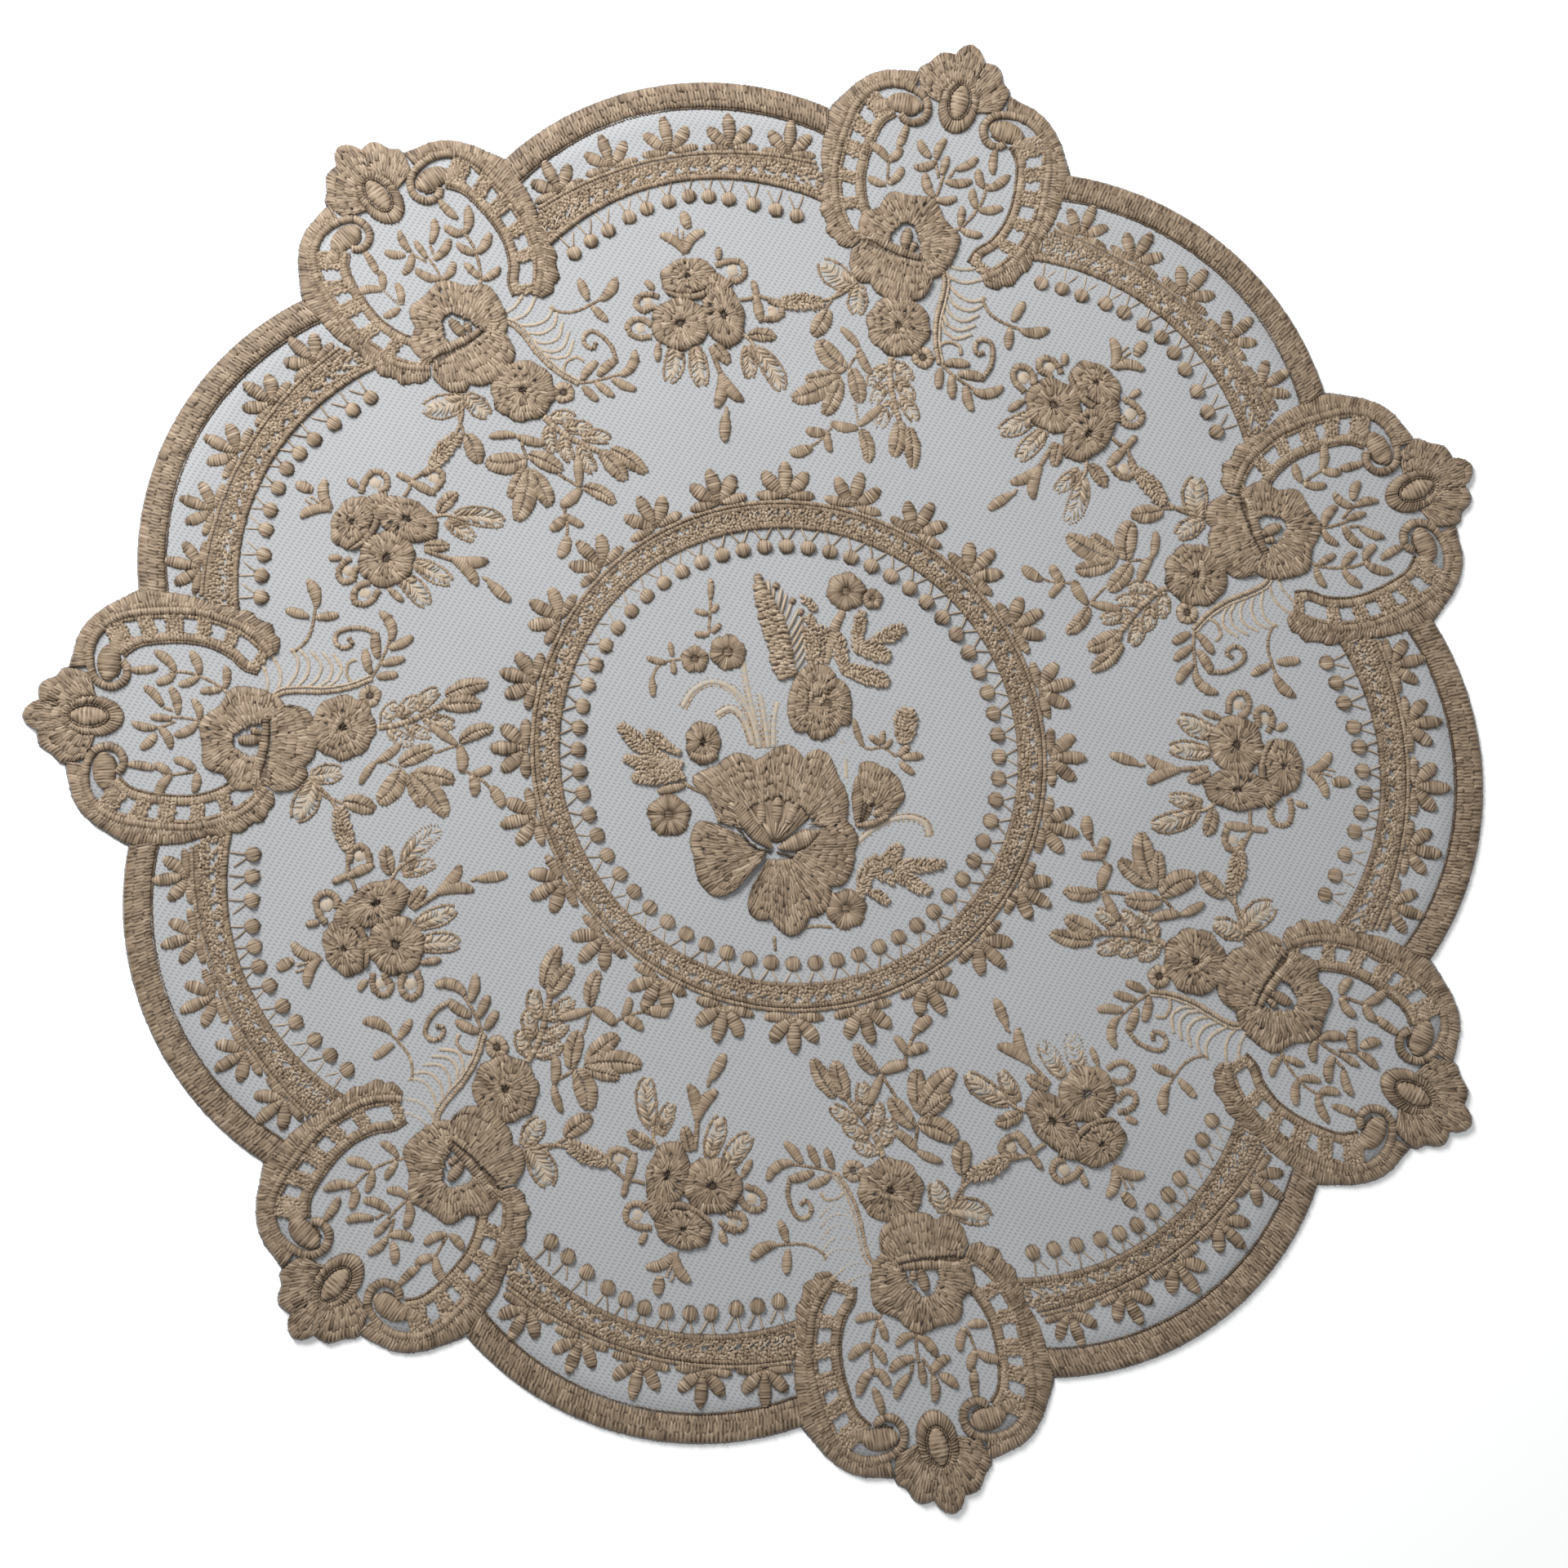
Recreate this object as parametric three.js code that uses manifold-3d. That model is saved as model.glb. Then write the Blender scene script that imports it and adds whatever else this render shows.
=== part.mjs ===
import * as THREE from 'three';
import { mergeVertices } from 'three/addons/utils/BufferGeometryUtils.js';
import Module from 'manifold-3d';

// A round lace placemat of seven scallops: embroidery raised on a net ground, lying flat.
// Millimetres, +Z up. The origin is the middle of the underside.
// Local points are [side, out]: side is to the right when out points up.

// Heights
const NET_TOP = 1.0;
const ROOT_Z = 0.5;
const FIGURE_TOP = 1.5;
const FRAME_TOP = 2.0;
const ROSE_TOP = 2.3;

// The seven scallops, and how the mat lies on the table
const SCALLOPS = 7;
const FIRST_TIP_DEG = 22.79;
const BIAS_SKEW = -0.0266;
const SLIP_FROM_RADIUS = 75;
const SLIP_FULL_RADIUS = 150;
const CORNER_SLIP = [
  { side: 1.5, out: 0.2 },
  { side: 0.4, out: 0.3 },
  { side: -0.7, out: -0.4 },
  { side: -2.2, out: 0.1 },
  { side: -0.9, out: 0.5 },
  { side: 0.7, out: -0.6 },
  { side: 4.6, out: 0.0 },
];
const TIP_RADIUS = 194.7;

// Satin border of the arcs, in the frame of an arc's middle line
const ARC_CENTRE = 100.5;
const ARC_RADIUS = 77.6;
const BORDER_WIDTH = 7.4;
const BORDER_HALF_SPAN = 40.7;
const BORDER_INNER_HALF_SPAN = 38.5;
const ARC_STEPS = 6;

// Lattice band between two cords, in the same frame
const BAND = { outerCentre: 69, outerRadius: 90.4, innerCentre: 88, innerRadius: 63.6 };
const BAND_OUTER_HALF_SPAN = 38;
const BAND_INNER_HALF_SPAN = 39;
const BAND_STEPS = 6;

// Palmettes and drops, in the same frame
const PALMETTES = [
  { side: -30, out: 154.3, turnDeg: 11, wide: 15, high: 9 },
  { side: -15.5, out: 158.0, turnDeg: 6, wide: 15, high: 9.3 },
  { side: 0, out: 159.0, turnDeg: 0, wide: 15, high: 10.2 },
  { side: 15.5, out: 158.0, turnDeg: -6, wide: 15, high: 9.3 },
  { side: 30, out: 154.3, turnDeg: -11, wide: 15, high: 9 },
];
const DROP = { wide: 3.8, high: 5 };
const DROPS = [
  { side: -30, out: 137 },
  { side: -25, out: 139.5 },
  { side: -20, out: 141.5 },
  { side: -14, out: 144 },
  { side: -9, out: 145.5 },
  { side: -3, out: 146.5 },
  { side: 2.5, out: 147 },
  { side: 7.5, out: 146 },
  { side: 12.5, out: 144.5 },
  { side: 18.5, out: 142.5 },
  { side: 24, out: 140 },
  { side: 29, out: 137.5 },
];

// Corner medallion, right half of each symmetric line, in the frame of a scallop's tip
const MEDALLION_EDGE = [
  { side: 33.4, out: 167.6 },
  { side: 29.8, out: 173.5 },
  { side: 27.2, out: 178 },
  { side: 24, out: 181 },
  { side: 19, out: 183.5 },
  { side: 11.5, out: 185.6 },
  { side: 8.3, out: 191.2 },
  { side: 4, out: 192.7 },
];
const MEDALLION_FAN_FOOT = [
  { side: 27, out: 163 },
  { side: 26.6, out: 169.5 },
  { side: 24, out: 174.8 },
  { side: 20, out: 178 },
  { side: 14, out: 179.6 },
  { side: 8, out: 178 },
  { side: 6, out: 182.5 },
];
const RUFFLE_WIDTH = 5.6;
const RUFFLE = [
  { side: 30.2, out: 166 },
  { side: 30.3, out: 155 },
  { side: 28.6, out: 147 },
  { side: 26.2, out: 139.5 },
  { side: 23, out: 135 },
  { side: 17.5, out: 133.4 },
];
const LADDER_WIDTH = 6.4;
const LADDER = [
  { side: 20.5, out: 174.5 },
  { side: 24, out: 165 },
  { side: 24.2, out: 155 },
  { side: 21.5, out: 145.5 },
  { side: 17.5, out: 136 },
];
const LADDER_WINDOW = { side: 24.4, out: 155.5, wide: 4.6, high: 5, sides: 4 };
const KNOB = { side: 13.2, out: 174.5, wide: 8.4, high: 8.4, sides: 6 };
const EYE_RING = { side: 0.5, out: 177, wide: 9, high: 15, sides: 8 };
const CORNER_ROSE = [
  { side: -4, out: 140, wide: 25, high: 20, sides: 8 },
  { side: -2.5, out: 127, wide: 13, high: 10, sides: 8 },
];
const SMALL_ROSE = { side: 0, out: 114.5, wide: 17, high: 17, sides: 7 };
const ROSE_HEART = { side: -4.5, out: 139.5, wide: 7, high: 7, sides: 6 };

// Leaves: from the foot to the tip
const MEDALLION_LEAVES = [
  { foot: [10.5, 152], tip: [15, 163], wide: 5.5 },
  { foot: [-11, 151], tip: [-15.5, 163], wide: 5.5 },
  { foot: [-13, 121.5], tip: [-24, 127], wide: 6 },
  { foot: [-11, 97], tip: [-22.5, 89], wide: 6.5 },
  { foot: [3, 98], tip: [11, 80], wide: 6 },
];

// Spray between two medallions, in the arc's frame
const SPRAY_BLOOMS = [
  { side: -1, out: 126, wide: 17, high: 10, sides: 6 },
  { side: -7, out: 114.5, wide: 13, high: 13, sides: 6 },
  { side: 5.5, out: 113.5, wide: 11, high: 16, sides: 6 },
];
const SPRAY_LEAVES = [
  { foot: [-1, 133], tip: [-7, 138.5], wide: 4 },
  { foot: [11, 105], tip: [16.5, 92.5], wide: 5 },
  { foot: [20, 114], tip: [33, 110], wide: 5.5 },
  { foot: [-2, 98], tip: [0, 84], wide: 5 },
];

// Ring around the middle
const RING_CENTRE = { side: -1.5, out: -2 };
const RING_INNER_EDGE = { ...RING_CENTRE, wide: 118, high: 118, sides: 40 };
const RING_OUTER_EDGE = { ...RING_CENTRE, wide: 132.4, high: 132.4, sides: 40 };
const RING_PALMETTES = { count: 24, firstDeg: 14, radius: 65.5, wide: 14.6, high: 10.2 };
const RING_DROPS = { count: 60, firstDeg: 5, radius: 54 };

// Bouquet in the middle: blooms and leaves, in the mat's own x and y
const BOUQUET_BLOOMS = [
  { x: -19, y: -15, wide: 19, high: 24, turnDeg: 30, sides: 8, top: FRAME_TOP },
  { x: -6, y: -11, wide: 17, high: 22, turnDeg: 4, sides: 8, top: ROSE_TOP },
  { x: 6.5, y: -14.5, wide: 14, high: 18, turnDeg: -30, sides: 8, top: FRAME_TOP },
  { x: -19, y: -28.5, wide: 18, high: 19, turnDeg: 0, sides: 8, top: ROSE_TOP },
  { x: 7.5, y: -28.5, wide: 15, high: 15, turnDeg: 0, sides: 8, top: ROSE_TOP },
  { x: -4, y: -38.5, wide: 21, high: 19, turnDeg: 0, sides: 9, top: ROSE_TOP },
  { x: 6, y: 10.5, wide: 17, high: 18, turnDeg: 0, sides: 9, top: ROSE_TOP },
  { x: 14.5, y: 40, wide: 10, high: 10, turnDeg: 0, sides: 6, top: FIGURE_TOP },
  { x: -16, y: 23.5, wide: 9.6, high: 9.6, turnDeg: 0, sides: 6, top: FIGURE_TOP },
  { x: -25, y: 22, wide: 6.4, high: 6.4, turnDeg: 0, sides: 6, top: FIGURE_TOP },
  { x: -32.5, y: -17.5, wide: 11, high: 11, turnDeg: 0, sides: 6, top: FIGURE_TOP },
  { x: 11.5, y: -42, wide: 10, high: 10, turnDeg: 0, sides: 6, top: FIGURE_TOP },
  { x: -23.5, y: 1, wide: 9, high: 12, turnDeg: -20, sides: 7, top: FRAME_TOP },
  { x: 20.5, y: -11.5, wide: 13, high: 18, turnDeg: -12, sides: 8, top: FRAME_TOP },
];
const BOUQUET_LEAVES = [
  { foot: [1, 16], tip: [-6, 45], wide: 9 },
  { foot: [2, 19], tip: [6, 38], wide: 5 },
  { foot: [9, 21], tip: [18.5, 33], wide: 5.5 },
  { foot: [12, 20], tip: [29, 30.5], wide: 5.5 },
  { foot: [12, 17], tip: [25.5, 22.5], wide: 5 },
  { foot: [-20.8, 30], tip: [-20, 43], wide: 4 },
  { foot: [-35, 16], tip: [-36, 23.5], wide: 4 },
  { foot: [24, 2], tip: [30, 7.5], wide: 5.5 },
  { foot: [-29, -5], tip: [-44, 5], wide: 5 },
  { foot: [-29, -7], tip: [-43, -4], wide: 5 },
  { foot: [17, -33], tip: [27, -29], wide: 5 },
  { foot: [25, -29], tip: [36, -30], wide: 4.5 },
];

const THREAD_COLOUR = 0x998675;
const SAME_POINT = 1e-4;

const wasm = await Module();
wasm.setup();

// Angle of scallop k, or of the arc after it when k ends in a half
function spokeAngle(k) {
  return THREE.MathUtils.degToRad(FIRST_TIP_DEG + (k * 360) / SCALLOPS);
}

// The slip of the corners at one angle: eased from each corner to the next
function slipAt(angle) {
  const turn = (angle - spokeAngle(0)) / (2 * Math.PI / SCALLOPS);
  const place = THREE.MathUtils.euclideanModulo(turn, SCALLOPS);
  const before = CORNER_SLIP[Math.floor(place) % SCALLOPS];
  const after = CORNER_SLIP[(Math.floor(place) + 1) % SCALLOPS];
  const ease = THREE.MathUtils.smoothstep(place % 1, 0, 1);
  return {
    side: THREE.MathUtils.lerp(before.side, after.side, ease),
    out: THREE.MathUtils.lerp(before.out, after.out, ease),
  };
}

// A point of the regular pattern moved to where it lies: corners slipped, then the bias skew
function lay([x, y]) {
  const radius = Math.hypot(x, y);
  const angle = Math.atan2(y, x);
  const share = THREE.MathUtils.smoothstep(radius, SLIP_FROM_RADIUS, SLIP_FULL_RADIUS);
  const slip = slipAt(angle);
  const laidAngle = angle - (share * slip.side) / TIP_RADIUS;
  const laidRadius = radius + share * slip.out;
  const laidY = laidRadius * Math.sin(laidAngle);
  return [laidRadius * Math.cos(laidAngle) + BIAS_SKEW * laidY, laidY];
}

// Local points of spoke k to the table
function onSpoke(k, points) {
  const angle = spokeAngle(k);
  const cos = Math.cos(angle);
  const sin = Math.sin(angle);
  return points.map(([side, out]) => lay([out * cos + side * sin, out * sin - side * cos]));
}

function toSolid(geometry) {
  geometry.deleteAttribute('normal');
  geometry.deleteAttribute('uv');
  const merged = mergeVertices(geometry, SAME_POINT);
  return new wasm.Manifold(new wasm.Mesh({
    numProp: 3,
    vertProperties: merged.attributes.position.array,
    triVerts: merged.index.array,
  }));
}

function prism(outline, bottom, top, holes = []) {
  const toVectors = (points) => points.map(([x, y]) => new THREE.Vector2(x, y));
  const shape = new THREE.Shape(toVectors(outline));
  shape.holes = holes.map((hole) => new THREE.Path(toVectors(hole)));
  const geometry = new THREE.ExtrudeGeometry(shape, { depth: top - bottom, bevelEnabled: false });
  geometry.translate(0, 0, bottom);
  return toSolid(geometry);
}

function raised(outline, top) {
  return prism(outline, ROOT_Z, top);
}

// Points of a circular arc about [0, centre], from side +half to side -half
function arcLine(centre, radius, half, steps) {
  const reach = Math.asin(half / radius);
  return Array.from({ length: steps + 1 }, (_, i) => {
    const angle = reach * (1 - (2 * i) / steps);
    return [radius * Math.sin(angle), centre + radius * Math.cos(angle)];
  });
}

// A right half line with its mirror image, from side + to side -
function mirrored(rows) {
  const right = rows.map(({ side, out }) => [side, out]);
  const left = right.map(([side, out]) => [-side, out]).reverse();
  return [...right, ...left];
}

function ellipse({ side, out, wide, high, sides, turnDeg = 0 }) {
  const turn = THREE.MathUtils.degToRad(turnDeg);
  return Array.from({ length: sides }, (_, i) => {
    const angle = (2 * Math.PI * i) / sides;
    const u = (wide / 2) * Math.cos(angle);
    const v = (high / 2) * Math.sin(angle);
    return [side + u * Math.cos(turn) - v * Math.sin(turn), out + u * Math.sin(turn) + v * Math.cos(turn)];
  });
}

// A strip of even width along a line of rows
function strip(rows, width) {
  const line = rows.map(({ side, out }) => new THREE.Vector2(side, out));
  const normals = line.map((_, i) => {
    const ahead = line[Math.min(i + 1, line.length - 1)];
    const behind = line[Math.max(i - 1, 0)];
    const along = ahead.clone().sub(behind).normalize();
    return new THREE.Vector2(-along.y, along.x).multiplyScalar(width / 2);
  });
  const left = line.map((point, i) => point.clone().add(normals[i]));
  const right = line.map((point, i) => point.clone().sub(normals[i])).reverse();
  return [...left, ...right].map(({ x, y }) => [x, y]);
}

function leaf({ foot, tip, wide }) {
  const from = new THREE.Vector2(...foot);
  const along = new THREE.Vector2(...tip).sub(from);
  const across = new THREE.Vector2(-along.y, along.x).normalize().multiplyScalar(wide / 2);
  const middle = from.clone().addScaledVector(along, 0.45);
  const sides = [middle.clone().add(across), middle.clone().sub(across)];
  return [foot, [sides[1].x, sides[1].y], tip, [sides[0].x, sides[0].y]];
}

// Fan of five petals, each row a share of the width and of the height
const PALMETTE_SHAPE = [
  { wide: 0.16, high: -0.15 },
  { wide: 0.5, high: 0.14 },
  { wide: 0.36, high: 0.78 },
  { wide: 0.15, high: 0.62 },
];

// A figure given in shares, standing on a foot point and turned
function figure(shares, { side, out, turnDeg = 0, wide, high }) {
  const turn = THREE.MathUtils.degToRad(turnDeg);
  return shares.map(([u, v]) => [
    side + u * wide * Math.cos(turn) - v * high * Math.sin(turn),
    out + u * wide * Math.sin(turn) + v * high * Math.cos(turn),
  ]);
}

function palmette(row) {
  const right = PALMETTE_SHAPE.map(({ wide, high }) => [wide, high]);
  const left = right.map(([wide, high]) => [-wide, high]).reverse();
  return figure([...right, [0, 1], ...left], row);
}

function drop(row) {
  return figure([[0, 0.6], [-0.5, -0.4], [0.5, -0.4]], { ...DROP, ...row });
}

// The same figure set around the ring, pointing outward
function aroundRing(shape, { count, firstDeg, radius, ...size }) {
  return Array.from({ length: count }, (_, i) => {
    const angle = THREE.MathUtils.degToRad(firstDeg + (i * 360) / count);
    const side = RING_CENTRE.side + radius * Math.cos(angle);
    const out = RING_CENTRE.out + radius * Math.sin(angle);
    const turnDeg = THREE.MathUtils.radToDeg(angle) - 90;
    return shape({ side, out, turnDeg, ...size }).map(lay);
  });
}

const spokes = Array.from({ length: SCALLOPS }, (_, k) => k);

// The ground and its raised edge: the whole outline at border height, hollowed to the net
function matOutline() {
  const corner = mirrored([...MEDALLION_EDGE, { side: 0.3, out: TIP_RADIUS }]);
  const arc = arcLine(ARC_CENTRE, ARC_RADIUS, BORDER_HALF_SPAN, ARC_STEPS);
  return spokes.flatMap((k) => [...onSpoke(k, corner), ...onSpoke(k + 0.5, arc)]);
}

function netOutline() {
  const corner = mirrored(MEDALLION_FAN_FOOT);
  const inner = ARC_RADIUS - BORDER_WIDTH;
  const arc = arcLine(ARC_CENTRE, inner, BORDER_INNER_HALF_SPAN, ARC_STEPS);
  return spokes.flatMap((k) => [...onSpoke(k, corner), ...onSpoke(k + 0.5, arc)]);
}

function ground() {
  const whole = prism(matOutline(), 0, FRAME_TOP);
  return whole.subtract(prism(netOutline(), NET_TOP, FRAME_TOP + 1));
}

function arcFigures(k) {
  const outer = arcLine(BAND.outerCentre, BAND.outerRadius, BAND_OUTER_HALF_SPAN, BAND_STEPS);
  const inner = arcLine(BAND.innerCentre, BAND.innerRadius, BAND_INNER_HALF_SPAN, BAND_STEPS);
  const spoke = k + 0.5;
  return [
    raised(onSpoke(spoke, [...outer, ...inner.reverse()]), FIGURE_TOP),
    ...PALMETTES.map((row) => raised(onSpoke(spoke, palmette(row)), FIGURE_TOP)),
    ...DROPS.map((row) => raised(onSpoke(spoke, drop(row)), FIGURE_TOP)),
    ...SPRAY_BLOOMS.map((row) => raised(onSpoke(spoke, ellipse(row)), FRAME_TOP)),
    ...SPRAY_LEAVES.map((row) => raised(onSpoke(spoke, leaf(row)), FIGURE_TOP)),
  ];
}

// One side of a medallion's frame; hand is 1 on the right and -1 on the left
function medallionSide(k, hand) {
  const onHand = ({ side, ...rest }) => ({ ...rest, side: hand * side });
  const ladder = raised(onSpoke(k, strip(LADDER.map(onHand), LADDER_WIDTH)), FIGURE_TOP);
  const window = raised(onSpoke(k, ellipse(onHand(LADDER_WINDOW))), FRAME_TOP);
  return [
    ladder.subtract(window),
    raised(onSpoke(k, strip(RUFFLE.map(onHand), RUFFLE_WIDTH)), FRAME_TOP),
    raised(onSpoke(k, ellipse(onHand(KNOB))), FIGURE_TOP),
  ];
}

function medallionFigures(k) {
  return [
    ...medallionSide(k, 1),
    ...medallionSide(k, -1),
    raised(onSpoke(k, ellipse(EYE_RING)), FRAME_TOP),
    ...CORNER_ROSE.map((row) => raised(onSpoke(k, ellipse(row)), FRAME_TOP)),
    raised(onSpoke(k, ellipse(SMALL_ROSE)), FRAME_TOP),
    raised(onSpoke(k, ellipse(ROSE_HEART)), ROSE_TOP),
    ...MEDALLION_LEAVES.map((row) => raised(onSpoke(k, leaf(row)), FIGURE_TOP)),
  ];
}

function ringFigures() {
  const hole = ellipse(RING_INNER_EDGE).map(lay);
  const band = prism(ellipse(RING_OUTER_EDGE).map(lay), ROOT_Z, FIGURE_TOP, [hole]);
  return [
    band,
    ...aroundRing(palmette, RING_PALMETTES).map((outline) => raised(outline, FIGURE_TOP)),
    ...aroundRing(drop, RING_DROPS).map((outline) => raised(outline, FIGURE_TOP)),
  ];
}

function bouquetFigures() {
  const blooms = BOUQUET_BLOOMS.map(({ x, y, top, ...row }) =>
    raised(ellipse({ side: x, out: y, ...row }).map(lay), top));
  const leaves = BOUQUET_LEAVES.map((row) => raised(leaf(row).map(lay), FIGURE_TOP));
  return [...blooms, ...leaves];
}

function laceMat() {
  const figures = [
    ...spokes.flatMap(arcFigures),
    ...spokes.flatMap(medallionFigures),
    ...ringFigures(),
    ...bouquetFigures(),
  ];
  const solid = figures.reduce((mat, one) => mat.add(one), ground());
  const { vertProperties, triVerts } = solid.getMesh();
  const geometry = new THREE.BufferGeometry();
  geometry.setAttribute('position', new THREE.BufferAttribute(new Float32Array(vertProperties), 3));
  geometry.setIndex(new THREE.BufferAttribute(new Uint32Array(triVerts), 1));
  geometry.computeVertexNormals();
  const material = new THREE.MeshStandardMaterial({ color: THREAD_COLOUR, roughness: 0.75, metalness: 0 });
  const mesh = new THREE.Mesh(geometry, material);
  mesh.name = 'lace_mat';
  return mesh;
}

const placemat = new THREE.Group();
placemat.name = 'lace_placemat';
placemat.add(laceMat());

export default placemat;
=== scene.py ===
import math

import bpy
import numpy as np
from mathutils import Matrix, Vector


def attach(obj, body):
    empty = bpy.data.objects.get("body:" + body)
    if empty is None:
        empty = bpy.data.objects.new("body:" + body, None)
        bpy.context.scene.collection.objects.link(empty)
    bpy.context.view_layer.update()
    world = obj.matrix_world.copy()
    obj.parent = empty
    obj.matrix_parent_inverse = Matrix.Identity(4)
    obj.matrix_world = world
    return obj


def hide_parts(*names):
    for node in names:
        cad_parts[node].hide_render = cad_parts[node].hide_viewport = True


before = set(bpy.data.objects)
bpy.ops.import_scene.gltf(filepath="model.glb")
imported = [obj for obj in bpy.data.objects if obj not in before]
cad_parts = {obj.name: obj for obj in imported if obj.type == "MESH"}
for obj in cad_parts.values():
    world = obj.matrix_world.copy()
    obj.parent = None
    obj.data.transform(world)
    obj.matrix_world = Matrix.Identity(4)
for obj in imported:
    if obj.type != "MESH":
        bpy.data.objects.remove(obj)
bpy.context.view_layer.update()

# Sizes in millimetres. Local points are (side, out): side is to the right when out points up.
MM = 0.001
SCALLOPS = 7
FIRST_TIP = math.radians(22.79)
SPOKE = 2 * math.pi / SCALLOPS
BIAS_SKEW = -0.0266
SLIP_FROM, SLIP_FULL = 75.0, 150.0
TIP_RADIUS = 194.7
# How each corner slipped when the mat was laid: side, out
CORNER_SLIP = np.array([
    (1.5, 0.2), (0.4, 0.3), (-0.7, -0.4), (-2.2, 0.1), (-0.9, 0.5), (0.7, -0.6), (4.6, 0.0)])
# Heights above the table: the stitches' feet, the net's two sides, and the tops of stitches
FOOT = 0.25
NET_UNDER, NET_OVER = 0.5, 0.72
LOW, FLAT, FIGURE, CORD, ROSE = 1.15, 1.35, 1.6, 1.95, 2.2
# From stitch to stitch, depth of a tier of stitches, and the length below which one lies lower
PITCH, TIER, SHORT_STITCH = 0.8, 2.2, 1.7
# Most that a stitch's end strays along its edge, as a share of the pitch
MOST_STRAY = 0.22
# What a stitch's crest adds to its tone as painted highlight, and what the valley beside it
# and a slit in the valley add as painted shade
CREST_HIGHLIGHT, VALLEY_SHADE, SLIT_SHADE = 0.05, -0.1, -0.32
# Places across a stitch where it has points, by the length that the stitches stay below
STATIONS = ((4.6, (0, 0.23, 0.77, 1)), (7, (0, 0.12, 0.35, 0.65, 0.88, 1)),
            (math.inf, (0, 0.07, 0.2, 0.4, 0.6, 0.8, 0.93, 1)))

random = np.random.default_rng(7)


def smooth(x):
    """Ease from 0 to 1: x squared times (3 - 2x), with x kept between 0 and 1."""
    x = np.clip(x, 0.0, 1.0)
    return x * x * (3 - 2 * x)


def lay(points):
    """Points of the regular pattern moved to where they lie.

    Beyond SLIP_FROM the pattern turns and grows by the slip of the two nearest corners, eased
    from corner to corner; then x shifts by BIAS_SKEW times y, as net pulled on its bias does.
    """
    radius = np.hypot(points[:, 0], points[:, 1])
    angle = np.arctan2(points[:, 1], points[:, 0])
    share = smooth((radius - SLIP_FROM) / (SLIP_FULL - SLIP_FROM))
    place = np.mod((angle - FIRST_TIP) / SPOKE, SCALLOPS)
    before = np.floor(place).astype(int) % SCALLOPS
    ease = smooth(place - np.floor(place))[:, None]
    slip = CORNER_SLIP[before] * (1 - ease) + CORNER_SLIP[(before + 1) % SCALLOPS] * ease
    angle = angle - share * slip[:, 0] / TIP_RADIUS
    radius = radius + share * slip[:, 1]
    y = radius * np.sin(angle)
    return np.column_stack([radius * np.cos(angle) + BIAS_SKEW * y, y])


def turned(points, k):
    """Local points of spoke k, before they are laid: side and out turned to the spoke's angle."""
    angle = FIRST_TIP + k * SPOKE
    side, out = points[:, 0], points[:, 1]
    c, s = math.cos(angle), math.sin(angle)
    return np.column_stack([out * c + side * s, out * s - side * c])


class Patch:
    """Stitched surface: points in mm, four-cornered faces, a thread coordinate and a tone each."""

    def __init__(self, points, faces, thread, tone):
        self.points, self.faces, self.thread, self.tone = points, faces, thread, tone

    def moved(self, place):
        """The same stitches with their side and out passed through place."""
        flat = place(self.points[:, :2])
        return Patch(np.column_stack([flat, self.points[:, 2]]), self.faces, self.thread, self.tone)

    def turned_inside_out(self):
        """The same patch with its faces pointing the other way."""
        return Patch(self.points, self.faces[:, ::-1], self.thread, self.tone)


def joined(patches):
    """Many patches as one: points stacked, and faces numbered on from the patch before."""
    counts = np.cumsum([0] + [len(p.points) for p in patches[:-1]])
    return Patch(
        np.concatenate([p.points for p in patches]),
        np.concatenate([p.faces + n for p, n in zip(patches, counts)]),
        np.concatenate([p.thread for p in patches]),
        np.concatenate([p.tone for p in patches]))


# Curves

def curve(points, steps=6):
    """Smooth line through the points: each span is the cubic whose ends lean along the chords
    of their neighbours."""
    p = np.asarray(points, float)
    if len(p) == 2:
        return p[0] + np.linspace(0, 1, steps + 1)[:, None] * (p[1] - p[0])
    q = np.concatenate([2 * p[:1] - p[1:2], p, 2 * p[-1:] - p[-2:-1]])
    a, b, c, d = (x[:, None, :] for x in (q[:-3], q[1:-2], q[2:-1], q[3:]))
    t = (np.arange(steps) / steps)[None, :, None]
    line = 0.5 * (2 * b + (c - a) * t + (2 * a - 5 * b + 4 * c - d) * t**2
                  + (3 * b - a - 3 * c + d) * t**3)
    return np.concatenate([line.reshape(-1, 2), p[-1:]])


def bowed(foot, tip, bend=0.0, steps=10):
    """Line from foot to tip that bows to its left by bend times its length, as a parabola."""
    foot, tip = np.asarray(foot, float), np.asarray(tip, float)
    t = np.linspace(0, 1, steps + 1)[:, None]
    along = tip - foot
    left = np.array([-along[1], along[0]])
    return foot + t * along + 4 * bend * t * (1 - t) * left


def arc(centre, radius, half_span, steps=60):
    """Circular arc about (0, centre) from side -half_span to side +half_span."""
    reach = math.asin(half_span / radius)
    a = np.linspace(-reach, reach, steps + 1)
    return np.column_stack([radius * np.sin(a), centre + radius * np.cos(a)])


def oval(centre, wide, high, lobes=0, depth=0.0, turn=0.0, steps=72):
    """Closed ellipse, its radius dented by depth between lobes that follow a rounded cosine."""
    a = np.linspace(0, 2 * np.pi, steps, endpoint=False)
    dent = 1 - depth * (1 - np.abs(np.cos(lobes * (a - turn) / 2)) ** 0.6) if lobes else 1.0
    return np.column_stack([centre[0] + wide / 2 * dent * np.cos(a),
                            centre[1] + high / 2 * dent * np.sin(a)])


def sideways(line):
    """Unit vectors to the left of a line at each of its points."""
    along = np.gradient(line, axis=0)
    along /= np.maximum(np.hypot(along[:, 0], along[:, 1]), 1e-9)[:, None]
    return np.column_stack([-along[:, 1], along[:, 0]])


def distances(line):
    """How far along a line each of its points lies."""
    return np.concatenate([[0], np.cumsum(np.hypot(*np.diff(line, axis=0).T))])


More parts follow.
